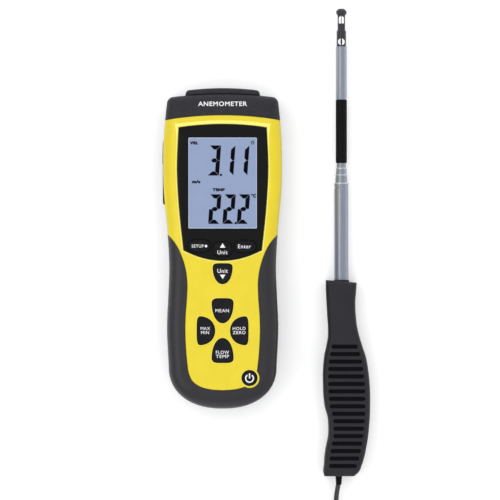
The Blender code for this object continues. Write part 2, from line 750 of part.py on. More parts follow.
def add_socket_housing():
    """The block that carries the probe socket, with a neck that reaches into the shells."""
    xs = np.linspace(-BLOCK_HALF, BLOCK_HALF, 15)
    top = METER_LENGTH / 2
    lower = [(x, BODY_TOP + GAP - TOP_DROP * (x / (WAIST - TOP_CORNER)) ** 2 * 0.82) for x in xs]
    upper = [(x * 0.985, top - BLOCK_DROP * (x / BLOCK_HALF) ** 2) for x in xs[::-1]]
    block = prism("socket_housing", lower + upper, BLOCK_Z[0], BLOCK_Z[1])
    join(block, rod("neck", NECK_RADIUS, NECK_END, BODY_TOP + 1.5 * MM, (0.0, SOCKET_Z)))
    cut(block, rod("bore", SOCKET_RADIUS + GAP, NECK_END - 8 * MM, AROUND, (0.0, SOCKET_Z)))
    dress(block, "dark_abs")


def add_probe_socket():
    tube("probe_socket", SOCKET_RADIUS, SOCKET_BORE, SOCKET_Y[0], SOCKET_Y[1], (0.0, SOCKET_Z), "nickel")
    insert = rod("socket_insert", SOCKET_BORE - GAP, SOCKET_Y[0], INSERT_END, (0.0, SOCKET_Z), "dark")
    for k in range(4):
        turn = math.pi / 4 + math.pi / 2 * k
        at = (PIN_CIRCLE * math.cos(turn), SOCKET_Z + PIN_CIRCLE * math.sin(turn))
        cut(insert, rod("pin_hole", PIN_HOLE, INSERT_END - 3.5 * MM, SOCKET_Y[1], at, steps=12))
    dress(insert, "black_plastic")


def usb_heights():
    top = BOARD_TOP - BOARD_THICK - GAP
    return (top - USB_SIZE[2], top)


def add_usb_socket():
    reach = -BOARD_TAB[0] - 2.2 * MM
    span_x = (reach, reach + USB_SIZE[0])
    span_y = (USB_Y - USB_SIZE[1] / 2, USB_Y + USB_SIZE[1] / 2)
    socket = box("usb_socket", span_x, span_y, usb_heights(), "nickel")
    mouth_x = (reach - 1 * MM, reach + 6.5 * MM)
    wall = 0.4 * MM
    cut(socket, box("mouth", mouth_x, widened(span_y, -wall), widened(usb_heights(), -wall)))
    dress(socket, "nickel")


# ================= display, board, battery =================


def add_display():
    lens = prism("display_lens", lens_outline(0), METER_DEPTH - LENS_THICK, METER_DEPTH)
    for name, outline, at, proud in key_plans():
        if proud == PANEL_KEY_PROUD:
            cut(lens, prism("hole", placed(outline(GAP), at), METER_DEPTH - 14 * MM, AROUND))
    dress(lens, "lens_black")
    x = (-GLASS_HALF - LCD_MARGIN[0], GLASS_HALF + LCD_MARGIN[0])
    y = widened(GLASS_Y, LCD_MARGIN[1])
    top = METER_DEPTH - WALL - GAP
    box("lcd_module", x, y, (top - LCD_THICK, top), "lcd_glass")
    light_top = top - LCD_THICK - GAP
    box("lcd_backlight", x, y, (light_top - LIGHT_THICK, light_top), "light_guide")


def add_board():
    tab_x, tab_low, tab_high = BOARD_TAB
    outline = [
        (-BOARD_HALF, BOARD_Y[0]),
        (BOARD_HALF, BOARD_Y[0]),
        (BOARD_HALF, BOARD_Y[1]),
        (-BOARD_HALF, BOARD_Y[1]),
        (-BOARD_HALF, tab_high),
        (-tab_x, tab_high),
        (-tab_x, tab_low),
        (-BOARD_HALF, tab_low),
    ]
    prism("main_board", outline, BOARD_TOP - BOARD_THICK, BOARD_TOP, "circuit_board")


def add_keypad_mat():
    """One silicone sheet with a dome under each key."""
    low = BOARD_TOP + GAP
    mat = box("keypad_mat", (-MAT_HALF, MAT_HALF), MAT_Y, (low, low + MAT_THICK))
    for name, outline, at, proud in key_plans():
        profile = [
            (0, DOME_TOP),
            (DOME_RADIUS * 0.8, DOME_TOP),
            (DOME_RADIUS, low + MAT_THICK / 2),
            (0, low + MAT_THICK / 2),
        ]
        join(mat, turned("dome", profile, (at[0], at[1], 0), along="Z", steps=12))
    dress(mat, "silicone")


def add_battery():
    half = BATTERY[0] / 2
    end = BATTERY_START + BATTERY[1]
    heights = (BATTERY_LOW, BATTERY_LOW + BATTERY[2])
    middle = sum(heights) / 2
    block = box("battery_9v", (-half, half), (BATTERY_START, end), heights)
    snap_y = (end + GAP, end + GAP + SNAP_SIZE[1])
    snap_z = (middle - SNAP_SIZE[2] / 2, middle + SNAP_SIZE[2] / 2)
    snap = box("battery_snap", (-SNAP_SIZE[0] / 2, SNAP_SIZE[0] / 2), snap_y, snap_z)
    for side, radius in ((-1, 2.9 * MM), (1, 3.6 * MM)):
        at = (side * TERMINAL_PITCH / 2, middle)
        join(block, rod("terminal", radius, end - 1 * MM, end + TERMINAL_HEIGHT, at, steps=16))
        cut(snap, rod("pocket", radius + GAP, end, end + TERMINAL_HEIGHT + GAP, at, steps=16))
    dress(block, "battery_can")
    dress(snap, "black_plastic")


def add_battery_door():
    door = box("battery_door", (-DOOR_HALF, DOOR_HALF), DOOR_Y, (0.0, DOOR_THICK))
    cut(door, screw_room(DOOR_SCREW_AT, SCREW_HEAD[0], SCREW_SHANK, 0.9 * MM, 0.01))
    dress(door, "dark_abs")
    screw("door_screw", DOOR_SCREW_AT, 0.0, 0.6 * MM, 4.0 * MM, SCREW_HEAD[0], SCREW_SHANK)


def screw(name, at, low, seat, end, head, shank):
    """A round-headed screw that points up, its head from low to seat."""
    profile = [(0, end), (shank, end - 0.5 * MM), (shank, seat), (head, seat), (head, low), (0, low)]
    body = turned(name, profile, (at[0], at[1], 0), along="Z", steps=12)
    slot = max(0.35 * (seat - low), 0.2 * MM)
    reach = 0.6 * head
    width = 0.18 * head
    for x, y in ((reach, width), (width, reach)):
        cross = box("cross", (at[0] - x, at[0] + x), (at[1] - y, at[1] + y), (low - 1 * MM, low + slot))
        cut(body, cross)
    dress(body, "screw_steel")


def add_case_screws():
    seat = SCREW_SEAT - GAP
    for k, at in enumerate(SCREW_POINTS):
        screw(f"case_screw_{k + 1}", at, seat - SCREW_HEAD[1], seat, SCREW_END, SCREW_HEAD[0], SCREW_SHANK)


# ================= probe handle =================


def handle_outline(inset):
    """The handle's outline, drawn in by inset on every side."""
    low, high = HANDLE[0][0] + inset, HANDLE[-1][0] - inset
    ys = np.linspace(low, high, 28)
    right = [(PROBE_X + blended(HANDLE, y, 2) - inset, y) for y in ys]
    left = [(PROBE_X - blended(HANDLE, y, 1) + inset, y) for y in ys[::-1]]
    edge = 0.3 * MM
    ends = [(right[-1][0] - 1.2 * MM, high + edge), (left[0][0] + 1.2 * MM, high + edge)]
    foot = [(left[-1][0] + 1.2 * MM, low - edge), (right[0][0] - 1.2 * MM, low - edge)]
    return right + ends + left + foot


def handle_form(name, inset):
    turn_in = max(HANDLE_ROUND - inset, 0.3 * MM)
    rings = []
    for k in range(3):
        turn = math.pi / 2 * k / 2
        rings.append((inset + turn_in * (1 - math.cos(turn)), inset + turn_in * (1 - math.sin(turn))))
    rings += [(HANDLE_DEPTH - z, d) for z, d in reversed(rings)]
    return loft(name, [[(x, y, z) for x, y in handle_outline(d)] for z, d in rings], "dark")


def slot_outline(y):
    """One grip slot across the handle, with round ends."""
    radius = SLOT_WIDTH / 2
    left = PROBE_X - blended(HANDLE, y, 1) + SLOT_INSET + radius
    right = PROBE_X + blended(HANDLE, y, 2) - SLOT_INSET - radius
    outline = []
    for centre, start in ((right, -math.pi / 2), (left, math.pi / 2)):
        for k in range(5):
            turn = start + math.pi * k / 4
            outline.append((centre + radius * math.cos(turn), y + radius * math.sin(turn)))
    return outline


def hollow_handle(name, low, high):
    """The handle's hollow form without what lies between two heights, with ribs that hold the outer tube."""
    half = handle_form(name, 0)
    cut(half, handle_form("hollow", HANDLE_WALL))
    wide = (PROBE_X - 0.009, PROBE_X + 0.009)
    for y in RIB_Y:
        join(half, box("rib", wide, (y, y + RIB_THICK), (1 * MM, HANDLE_DEPTH - 1 * MM)))
    for at in HANDLE_SCREWS:
        join(half, rod("post", HANDLE_POST, 1 * MM, HANDLE_DEPTH - 1 * MM, at, along="Z", steps=16))
    cut(half, rod("tube_hole", OUTER_RADIUS + GAP, -0.12, 0.0, (PROBE_X, PROBE_Z)))
    cut(half, rod("cable_hole", GROMMET_RADIUS + GAP, -0.16, GROMMET_Y[1], (CABLE_X, PROBE_Z)))
    cut(half, box("other_half", (0.03, 0.12), (-0.2, 0.1), (low, high)))
    for at in HANDLE_SCREWS:
        end = HANDLE_SCREW_END + 1 * MM
        cut(half, screw_room(at, HANDLE_SCREW_HEAD[0], HANDLE_SCREW_SHANK, HANDLE_SEAT, end))
    return half


def add_handle():
    front = hollow_handle("handle_front", -0.01, PROBE_Z + GAP / 2)
    for k in range(SLOT_COUNT):
        y = SLOT_FIRST - k * SLOT_PITCH
        cut(front, prism("slot", slot_outline(y), HANDLE_DEPTH - SLOT_DEPTH, HANDLE_DEPTH + 10 * MM))
    dress(front, "handle_rubber")
    rear = hollow_handle("handle_rear", PROBE_Z - GAP / 2, 0.04)
    dress(rear, "handle_rubber")
    seat = HANDLE_SEAT - GAP
    for k, at in enumerate(HANDLE_SCREWS):
        name = f"handle_screw_{k + 1}"
        low = seat - HANDLE_SCREW_HEAD[1]
        screw(name, at, low, seat, HANDLE_SCREW_END, HANDLE_SCREW_HEAD[0], HANDLE_SCREW_SHANK)


def add_probe_board():
    spans = [(at - size / 2, at + size / 2) for at, size in zip(PROBE_BOARD_AT, PROBE_BOARD)]
    box("probe_board", *spans, "circuit_board")


# ================= probe tubes and head =================


def add_tubes():
    place = (PROBE_X, PROBE_Z)
    tubes = (
        ("outer_tube", OUTER_RADIUS, OUTER_BORE, OUTER_Y, CRIMP),
        ("tube_c", TUBE_C_RADIUS, TUBE_C_RADIUS - TUBE_WALL, TUBE_C_Y, TUBE_CRIMP),
        ("tube_b", TUBE_B_RADIUS, TUBE_B_RADIUS - TUBE_WALL, TUBE_B_Y, TUBE_CRIMP),
        ("tube_a", TUBE_A_RADIUS, TUBE_A_RADIUS - TUBE_WALL, TUBE_A_Y, TUBE_CRIMP),
        ("guard_sleeve", GUARD_RADIUS, GUARD_BORE, GUARD_Y, TUBE_CRIMP),
    )
    for name, radius, bore, (low, high), crimp in tubes:
        centre_on(tube(name, radius, bore, low, high, place, "chrome", crimp), (PROBE_X, low, PROBE_Z))
    sleeve_bore = TUBE_A_RADIUS + TUBE_GAP
    tube("sleeve_grip", SLEEVE_RADIUS, sleeve_bore, *SLEEVE_Y, place, "black_plastic", SLEEVE_EDGE)


def add_sensor_head():
    chamfer = 1.6 * MM
    profile = [
        (0, HEAD_END),
        (HEAD_CAP_RADIUS - chamfer, HEAD_END),
        (HEAD_CAP_RADIUS, HEAD_END - chamfer),
        (HEAD_CAP_RADIUS, HEAD_NECK_END + 1.2 * MM),
        (HEAD_NECK_RADIUS, HEAD_NECK_END),
        (HEAD_NECK_RADIUS, HEAD_BODY_Y[1] + 0.6 * MM),
        (HEAD_BODY_RADIUS, HEAD_BODY_Y[1]),
        (HEAD_BODY_RADIUS, HEAD_BODY_Y[0]),
        (HEAD_STEM_RADIUS, HEAD_BODY_Y[0]),
        (HEAD_STEM_RADIUS, HEAD_STEM_END),
        (0, HEAD_STEM_END),
    ]
    head = turned("sensor_head", profile, (PROBE_X, 0, PROBE_Z))
    cut(head, prism("window", window_outline(), 0, 0.03))
    cut(head, rod("eye", EYE_RADIUS, 0, 0.03, (PROBE_X, EYE_Y), along="Z"))
    axis = (PROBE_X, PROBE_Z)
    air = (WINDOW_Y[0] - 2 * MM, WINDOW_Y[1] + 1.8 * MM)
    warm = (EYE_Y - 3.6 * MM, EYE_Y + 3.6 * MM)
    for name, span, material in (("air_sensor", air, "sensor_glass"), ("temp_sensor", warm, "black_plastic")):
        cut(head, rod("bore", SENSOR_BORE, span[0] - GAP, span[1] + GAP, axis, steps=12))
        rod(name, SENSOR_RADIUS, span[0], span[1], axis, material, steps=12)
    dress(head, "black_plastic")


def window_outline():
    half = WINDOW_WIDTH / 2
    corner = 1.1 * MM
    outline = []
    for sx, sy, start in ((1, 1, 0), (-1, 1, 90), (-1, -1, 180), (1, -1, 270)):
        end = WINDOW_Y[1] if sy > 0 else WINDOW_Y[0]
        for k in range(4):
            turn = math.radians(start + 30 * k)
            x = PROBE_X + sx * (half - corner) + corner * math.cos(turn)
            outline.append((x, end - sy * corner + corner * math.sin(turn)))
    return outline


# ================= cable =================


def add_cable():
    """The free cable from the grommet to its coil."""
    curve = bpy.data.curves.new("probe_cable", "CURVE")
    curve.dimensions = "3D"
    curve.bevel_depth = CABLE_RADIUS
    curve.bevel_resolution = 2
    curve.use_fill_caps = True
    line = smooth_line(CABLE_ROUTE, 9)
    spline = curve.splines.new("POLY")
    spline.points.add(len(line) - 1)
    for point, place in zip(spline.points, line):
        point.co = (*place, 1.0)
    obj = bpy.data.objects.new("probe_cable", curve)
    PARTS.objects.link(obj)
    dress(obj, "cable_rubber")


def add_coil():
    """The rest of the cable, wound: one ring as wide and as high as its bundle of turns."""
    half_x, half_z = COIL_HALF
    profile = []
    for k in range(10):
        turn = math.pi / 2 - 2 * math.pi * k / 10
        profile.append((COIL_RADIUS + half_x * math.cos(turn), half_z + half_z * math.sin(turn)))
    turned("cable_coil", profile, (COIL_AT[0], COIL_AT[1], 0), "cable_rubber", along="Z", steps=36)


def add_grommet():
    profile = [
        (CABLE_RADIUS + GAP, GROMMET_Y[1]),
        (GROMMET_RADIUS, GROMMET_Y[1]),
        (GROMMET_RADIUS, GROMMET_Y[0]),
        (CABLE_RADIUS + GAP, GROMMET_Y[0]),
    ]
    turned("cable_grommet", profile, (CABLE_X, 0, PROBE_Z), "black_plastic")


def add_plug():
    x, y, z = PLUG_AT
    grip_radius, grip_long = PLUG_GRIP
    shell_radius, shell_long = PLUG_SHELL
    top = y + grip_long
    profile = [
        (0, top),
        (grip_radius - 0.5 * MM, top),
        (grip_radius, top - 0.5 * MM),
        (grip_radius, y + 7 * MM),
        (2.6 * MM, y),
        (0, y),
    ]
    turned("plug_grip", profile, (x, 0, z), "black_plastic")
    start = top + GAP
    shell = rod("plug_shell", shell_radius, start, start + shell_long, (x, z), "nickel")
    cut(shell, rod("mouth", shell_radius - 0.5 * MM, start + 2 * MM, start + 0.02, (x, z)))
    dress(shell, "nickel")


def add_materials():
    add_material("dark", (0.03, 0.03, 0.03), 0.5)
    add_material("yellow_abs", (0.92, 0.74, 0.06), 0.45)
    add_material("dark_abs", (0.04, 0.04, 0.045), 0.55)
    add_material("grip_rubber", (0.04, 0.04, 0.045), 0.7)
    add_material("key_rubber", (0.012, 0.012, 0.016), 0.55)
    add_material("lens_black", (0.01, 0.01, 0.01), 0.12)
    add_material("lcd_glass", (0.32, 0.39, 0.58), 0.15)
    add_material("light_guide", (0.8, 0.82, 0.85), 0.4)
    add_material("circuit_board", (0.03, 0.22, 0.09), 0.5)
    add_material("silicone", (0.5, 0.5, 0.52), 0.6)
    add_material("battery_can", (0.6, 0.6, 0.62), 0.35, 1.0)
    add_material("black_plastic", (0.012, 0.012, 0.012), 0.5)
    add_material("screw_steel", (0.55, 0.55, 0.56), 0.3, 1.0)
    add_material("nickel", (0.66, 0.64, 0.6), 0.25, 1.0)
    add_material("chrome", (0.6, 0.62, 0.66), 0.15, 1.0)
    add_material("handle_rubber", (0.035, 0.035, 0.038), 0.65)
    add_material("cable_rubber", (0.015, 0.015, 0.015), 0.6)
    add_material("sensor_glass", (0.55, 0.55, 0.55), 0.2)


def main():
    clear_scene()
    start_collection()
    add_materials()
    add_front_shell()
    add_rear_shell()
    add_cap()
    add_bumper()
    add_side_flap()
    add_socket_housing()
    add_probe_socket()
    add_usb_socket()
    add_display()
    add_board()
    add_keypad_mat()
    add_keys()
    add_battery()
    add_battery_door()
    add_case_screws()
    add_handle()
    add_probe_board()
    add_tubes()
    add_sensor_head()
    add_cable()
    add_coil()
    add_grommet()
    add_plug()


main()
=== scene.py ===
import json
from math import atan2, copysign, cos, dist, hypot, pi, radians, sin, sqrt

import bmesh
import bpy
import numpy as np
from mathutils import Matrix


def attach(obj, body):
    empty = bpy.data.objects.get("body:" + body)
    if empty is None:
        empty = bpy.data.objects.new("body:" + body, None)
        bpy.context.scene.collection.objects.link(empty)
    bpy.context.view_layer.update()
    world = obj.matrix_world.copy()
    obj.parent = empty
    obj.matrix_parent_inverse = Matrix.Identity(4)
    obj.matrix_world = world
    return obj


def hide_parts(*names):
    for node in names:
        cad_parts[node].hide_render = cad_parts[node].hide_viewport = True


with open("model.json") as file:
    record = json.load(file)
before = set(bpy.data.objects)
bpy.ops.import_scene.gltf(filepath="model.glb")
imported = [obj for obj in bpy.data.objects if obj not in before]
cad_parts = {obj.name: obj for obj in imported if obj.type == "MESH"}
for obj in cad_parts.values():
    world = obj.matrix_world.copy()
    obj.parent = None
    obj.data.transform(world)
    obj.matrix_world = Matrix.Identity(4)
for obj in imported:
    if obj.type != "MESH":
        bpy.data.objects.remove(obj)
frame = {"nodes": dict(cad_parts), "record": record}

SCENE = bpy.context.scene
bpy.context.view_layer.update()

# Looks of the hot-wire anemometer. Every size is a design size of the part, in metres,
# in the part's own frame: Z up out of the display, Y towards the sensor end.
MM = 0.001


def mm(*values):
    """Millimetres, single or in rows, as metres."""
    return tuple(mm(*v) if isinstance(v, tuple) else v * MM for v in values)


GAP = 0.3 * MM  # between pieces that touch in the real object

# ---- how far cutting bodies reach, in metres ----
ACROSS = (-0.06, 0.06)  # past the meter's sides
ALONG = (-0.12, 0.12)  # past its ends
BEYOND = 0.13  # past its ends, for the cap and the bumper
BELOW = -0.01  # under the floor
INSIDE = 0.03  # the middle of a thickness or of half a width
CLEAR = 0.06  # over the front
ABOVE = 0.07  # over the front, for the cap and the bumper
UNDER_HANDLE = -0.16
OVER_HANDLE = 0.04
ROUND_HANDLE = ((INSIDE, 0.12), (-0.2, 0.1))

# ---- case ----
METER_LENGTH, METER_DEPTH = mm(210, 44)
BLOCK_RISE = 3.8 * MM  # how far the socket block stands beyond the cap
BODY_TOP = METER_LENGTH / 2 - BLOCK_RISE
BODY_END = -METER_LENGTH / 2
TOP_DROP = 2 * MM  # sag of the arched top edge at its corners
TOP_CORNER = 4.5 * MM
END_HEIGHT = 28 * MM  # length of the rounded lower end
END_POWER = 2.25
WAIST = 35 * MM
SHOULDER = 39 * MM
SIDE = mm(  # (distance along the body, half width) from the rounded end to the top corner
    (-77, 35.4), (-51, 36.5), (-30, 35.6), (-13, 35), (4, 35.7), (24, 37.4), (40, 38.7), (57, 39),
    (71, 38.7), (85, 37.6), (101, 35.8),
)
BACK_ROUND = 5 * MM
FRONT_ROUND = 9 * MM  # width of the rounded front edge, seen from above
FRONT_FALL = 7 * MM  # height of the rounded front edge
SPLIT = 20 * MM  # height of the joint between the two shells
WALL = 2.2 * MM
SKIN_LOW = 8 * MM  # lower edge of the cap and of the grip bumper

# ---- cap and grip bumper ----
CAP_WALL = 2.5 * MM
CAP_EDGE = 87.2 * MM  # its lower edge on the centreline
CAP_EDGE_DROP = 3.4 * MM
GRIP_WALL = 2.7 * MM
TONGUE = mm(  # right edge of the yellow front between the grips
    (50, 22), (35.9, 8.6), (31.9, 4.2), (28.9, -0.6), (26.4, -6.6), (24.4, -13.5), (23.3, -22),
    (23.5, -32), (24.3, -43), (24.6, -54), (24.1, -66), (23.3, -75), (22.2, -82), (19.8, -87),
    (14.7, -90.6), (8, -92.4), (0, -93),
)
POWER_RIM = 1.8 * MM  # yellow ring round the power key

# ---- display ----
LENS_TOP, LENS_TOP_DROP, LENS_TOP_HALF = mm(81.2, 2.2, 28.7)
LENS_MID = mm(51.5, 29.7)
LENS_BOTTOM, LENS_BOTTOM_HALF, LENS_BOTTOM_SAG, LENS_THICK = mm(-1.2, 25.5, 6.8, 1.1)
GLASS_HALF = 22.7 * MM
GLASS_Y = mm(12.7, 72.7)

# ---- board and keys ----
BOARD_TOP, BOARD_THICK = mm(34.9, 1.6)
KEY_PROUD = 0.7 * MM
PANEL_KEY_PROUD = 0.15 * MM
KEY_FLANGE, KEY_FLANGE_THICK = mm(0.8, 0.9)
SHIELD_KEYS = (  # name, (across, along its point), centre, quarter turns from pointing down
    ("key_down", mm(12.6, 13.1), mm(0, -16.6), 0),
    ("key_mean", mm(13.9, 15.8), mm(0, -40.8), 0),
    ("key_max_min", mm(18.5, 11.5), mm(-10.9, -53.9), 1),
    ("key_hold_zero", mm(18.5, 11.5), mm(10.9, -53.9), 3),
    ("key_flow_temp", mm(13.9, 15.8), mm(0, -66.8), 2),
)
PANEL_KEYS = (  # name, (width, height), centre
    ("key_setup", mm(14.6, 8), mm(-15.2, 1.6)),
    ("key_up", mm(12, 9.6), mm(0, -0.6)),
    ("key_enter", mm(14, 8), mm(14.8, 1.2)),
)
POWER_AT = mm(17.6, -84.8)
POWER_WIDTH = 9.9 * MM

# ---- battery ----
BATTERY = mm(26.5, 48.5, 17.5)  # a nine volt block, 6LR61
BATTERY_START = -86 * MM
SNAP_SIZE = mm(24.5, 3.9, 12)
BAY_CLEAR, BAY_WALL = mm(0.6, 1.5)
DOOR_HALF = 19 * MM
DOOR_Y = mm(-94, -27)
DOOR_THICK = 1.9 * MM
DOOR_PAD = 1.9 * MM  # extra wall behind the door's edge

# ---- screws ----
SCREW_POINTS = mm((-31, 78), (31, 78), (-28.8, -62), (28.8, -62))
SCREW_HEAD_RADIUS, SCREW_SEAT = mm(2.5, 6)

# ---- sockets and side flap ----
BLOCK_HALF = 24.5 * MM
BLOCK_Z = mm(14, 38)
BLOCK_DROP = 1.6 * MM
SOCKET_Z = 26 * MM
NECK_RADIUS, NECK_END = mm(7, 88)
SOCKET_RADIUS = 5 * MM
FLAP_Y = mm(28.5, 70.5)
FLAP_Z = mm(21.8, 36.2)
FLAP_X = mm(-39.8, -37.4)
FLAP_PAD = 2 * MM
USB_SIZE = mm(9.2, 7.7, 3.9)
USB_Y = 44 * MM

# ---- probe handle ----
PROBE_X, PROBE_Z = mm(78.1, 12.5)
PROBE_AXIS = (PROBE_X, PROBE_Z)
PROBE_PLACE = (PROBE_X, 0, PROBE_Z)
HANDLE_DEPTH, HANDLE_WALL, HANDLE_ROUND = mm(25, 2, 3.4)
END_TURN = mm(1.2, 0.3)  # how far the handle's ends turn in and bulge
HANDLE = mm(  # (distance along, left reach, right reach) from the cable end to the tube end
    (-149.6, 11.4, 8.6), (-147.5, 11.9, 11), (-142.5, 11.5, 13.4), (-136, 11, 15.3),
    (-129.5, 10, 16.6), (-124, 8.8, 17.5), (-117, 8.6, 18.2), (-110.5, 9.2, 18.7),
    (-105, 10.8, 18.8), (-99.5, 11.6, 18.9), (-90, 12.1, 18.6), (-80, 12.1, 17.6),
    (-72, 11.4, 16.2), (-64.5, 9.9, 13.8), (-58, 8.8, 11.8), (-52, 8.8, 10.4), (-44, 9.3, 9.4),
    (-35, 9.8, 9.1), (-27, 10.2, 9.7), (-22, 10.2, 10),
)
SLOT_COUNT = 17
SLOT_FIRST, SLOT_PITCH, SLOT_WIDTH, SLOT_DEPTH, SLOT_INSET = mm(-64.6, 4.9, 2.6, 1.1, 3.3)
HANDLE_SCREWS = (
    (PROBE_X + 12.4 * MM, -82 * MM),
    (PROBE_X + 12.4 * MM, -108 * MM),
    (PROBE_X - 6.6 * MM, -133 * MM),
)
HANDLE_SCREW_RADIUS = 1.8 * MM

# ---- telescopic tubes ----
TUBE_WALL, TUBE_GAP, TUBE_A_RADIUS = mm(0.25, 0.15, 3.1)
TUBE_B_RADIUS = TUBE_A_RADIUS + TUBE_GAP + TUBE_WALL
TUBE_C_RADIUS = TUBE_B_RADIUS + TUBE_GAP + TUBE_WALL
OUTER_BORE = TUBE_C_RADIUS + TUBE_GAP
OUTER_RADIUS = 4.6 * MM
OUTER_Y = mm(-118, 43.3)
TUBE_C_Y = mm(-116.5, 48.8)
TUBE_B_Y = mm(-115, 53.2)
TUBE_A_Y = mm(-113.5, 132.7)

# ---- sensor end ----
SLEEVE_Y = mm(56.2, 97.9)
SLEEVE_RADIUS = 3.7 * MM
GUARD_Y = mm(98.2, 133)
GUARD_RADIUS, GUARD_BORE = mm(3.5, 3.3)
HEAD_BODY_Y = mm(133.1, 143.1)
HEAD_BODY_RADIUS, HEAD_STEM_RADIUS, HEAD_STEM_END, HEAD_NECK_RADIUS = mm(3.12, 2.6, 122, 2.5)
HEAD_NECK_END, HEAD_CAP_RADIUS, HEAD_END = mm(153.4, 3.5, 157.9)
WINDOW_Y = mm(148.1, 153.1)
WINDOW_WIDTH = 3.4 * MM
EYE_Y, EYE_RADIUS = mm(136.1, 2.25)

# ---- cable, coil and plug ----
CABLE_RADIUS, CABLE_X = mm(1.6, 76.4)
GROMMET_Y = mm(-150, -143.5)
GROMMET_RADIUS = 3 * MM
COIL_AT = mm(58, -196)
COIL_RADIUS = 17.6 * MM
PLUG_AT = mm(20, -207, 5.6)
PLUG_GRIP = mm(5.5, 24)
PLUG_SHELL = mm(4.1, 9)

FLAT = METER_DEPTH  # height of the meter's flat front


# ---- mesh helpers ----


def linked(name, data):
    """A new object in the scene."""
    obj = bpy.data.objects.new(name, data)
    SCENE.collection.objects.link(obj)
    return obj


def evaluated_mesh(obj):
    graph = bpy.context.evaluated_depsgraph_get()
    return bpy.data.meshes.new_from_object(obj.evaluated_get(graph), depsgraph=graph)


def solid(name, points, faces):
    """One closed mesh object whose faces look outwards."""
    mesh = bpy.data.meshes.new(name)
    mesh.from_pydata([tuple(map(float, p)) for p in points], [], faces)
    shape = bmesh.new()
    shape.from_mesh(mesh)
    if shape.calc_volume(signed=True) < 0:
        mesh.flip_normals()
    shape.free()
    return linked(name, mesh)


def loft(name, rings, closed=False):
    """A body through rings of equally many points, with flat ends or joined end to end."""
    count = len(rings[0])
    points = [p for ring in rings for p in ring]
    faces = []
    for level in range(len(rings) if closed else len(rings) - 1):
        low, high = level * count, (level + 1) % len(rings) * count
        for k in range(count):
            after = (k + 1) % count
            faces.append((low + k, low + after, high + after, high + k))
    if not closed:
        faces.append(tuple(reversed(range(count))))
        faces.append(tuple(range(len(points) - count, len(points))))
    return solid(name, points, faces)


def prism(name, outline, low, high):
    return loft(name, [[(x, y, z) for x, y in outline] for z in (low, high)])


def stack(name, outline, levels, at=(0, 0), closed=False):
    """A body whose plan is outline(grow) at each (height, grow)."""
    rings = [[(x, y, z) for x, y in placed(outline(grow), at)] for z, grow in levels]
    return loft(name, rings, closed)


def box(name, x, y, z):
    return prism(name, [(x[0], y[0]), (x[1], y[0]), (x[1], y[1]), (x[0], y[1])], z[0], z[1])


def turned(name, profile, place, along="Y", steps=64):
    """A turned body: (radius, height) points down its outer side, then back up any bore."""
    points, rows = [], []
    for radius, height in profile:
        start = len(points)
        if radius == 0:
            points.append((0.0, 0.0, height))
            rows.append([start] * steps)
            continue
        points += [(x, y, height) for x, y in ring_points(radius, steps)]
        rows.append(list(range(start, start + steps)))
    pairs = list(zip(rows, rows[1:]))
    if profile[0][0] > 0:
        pairs.append((rows[-1], rows[0]))
    faces = []
    for one, two in pairs:
        for k in range(steps):
            after = (k + 1) % steps
            face = list(dict.fromkeys((one[k], one[after], two[after], two[k])))
            if len(face) > 2:
                faces.append(face)
    if along == "Y":
        points = [(x, h, y) for x, y, h in points]
    return solid(name, [np.add(p, place) for p in points], faces)


def rod(name, radius, low, high, place, along="Y", steps=48):
    at = (place[0], 0.0, place[1]) if along == "Y" else (place[0], place[1], 0.0)
    return turned(name, [(0, high), (radius, high), (radius, low), (0, low)], at, along, steps)


def combine(target, other, operation):
    """Joins or cuts the target's mesh with the other body, which is used up."""
    step = target.modifiers.new(operation.lower(), "BOOLEAN")
    step.operation = operation
    step.solver = "EXACT"
    step.object = other
    old, target.data = target.data, evaluated_mesh(target)
    target.modifiers.clear()
    bpy.data.meshes.remove(old)
    bpy.data.objects.remove(other, do_unlink=True)
    return target


def cut(target, other):
    return combine(target, other, "DIFFERENCE")


def join(target, other):
    return combine(target, other, "UNION")


def merged(name, parts):
    """Several separate bodies as one object."""
    points, faces = [], []
    for part in parts:
        start = len(points)
        points += [part.matrix_world @ v.co for v in part.data.vertices]
        faces += [[start + i for i in p.vertices] for p in part.data.polygons]
        bpy.data.objects.remove(part, do_unlink=True)
    return solid(name, points, faces)


def rounded_edge(width, height, steps):
    """(how far in, how far down) along a quarter round edge, from its side to its top."""
    turns = [pi / 2 * k / steps for k in range(steps + 1)]
    return [(width * (1 - cos(t)), height * (1 - sin(t))) for t in turns]


def blended(stations, at, column):
    """A smooth value between design stations, by cubic steps with averaged slopes."""
    xs = [s[0] for s in stations]
    ys = [s[column] for s in stations]
    at = min(max(at, xs[0]), xs[-1])
    k = min(int(np.searchsorted(xs, at, side="right")) - 1, len(xs) - 2)
    slopes = np.gradient(ys, xs)
    span = xs[k + 1] - xs[k]
    t = (at - xs[k]) / span
    return (
        (2 * t**3 - 3 * t**2 + 1) * ys[k]
        + (t**3 - 2 * t**2 + t) * span * slopes[k]
        + (3 * t**2 - 2 * t**3) * ys[k + 1]
        + (t**3 - t**2) * span * slopes[k + 1]
    )


def smooth_line(points, count):
    """A smooth open line through 2-D or 3-D points."""
    points = np.array(points, float)
    steps = np.concatenate([[0], np.cumsum(np.linalg.norm(np.diff(points, axis=0), axis=1))])
    table = [(s, *p) for s, p in zip(steps, points)]
    wanted = np.linspace(0, steps[-1], count)
    return [tuple(blended(table, s, c + 1) for c in range(points.shape[1])) for s in wanted]


def shifted(line, distance):
    """An open 2-D line moved to its left by the distance."""
    line = np.array(line, float)
    along = np.gradient(line, axis=0)
    along /= np.linalg.norm(along, axis=1)[:, None]
    return line + distance * np.stack([-along[:, 1], along[:, 0]], axis=1)


def polar(radius, turn, at=(0, 0)):
    return (at[0] + radius * cos(turn), at[1] + radius * sin(turn))


def ring_points(radius, count):
    return [polar(radius, 2 * pi * k / count) for k in range(count)]


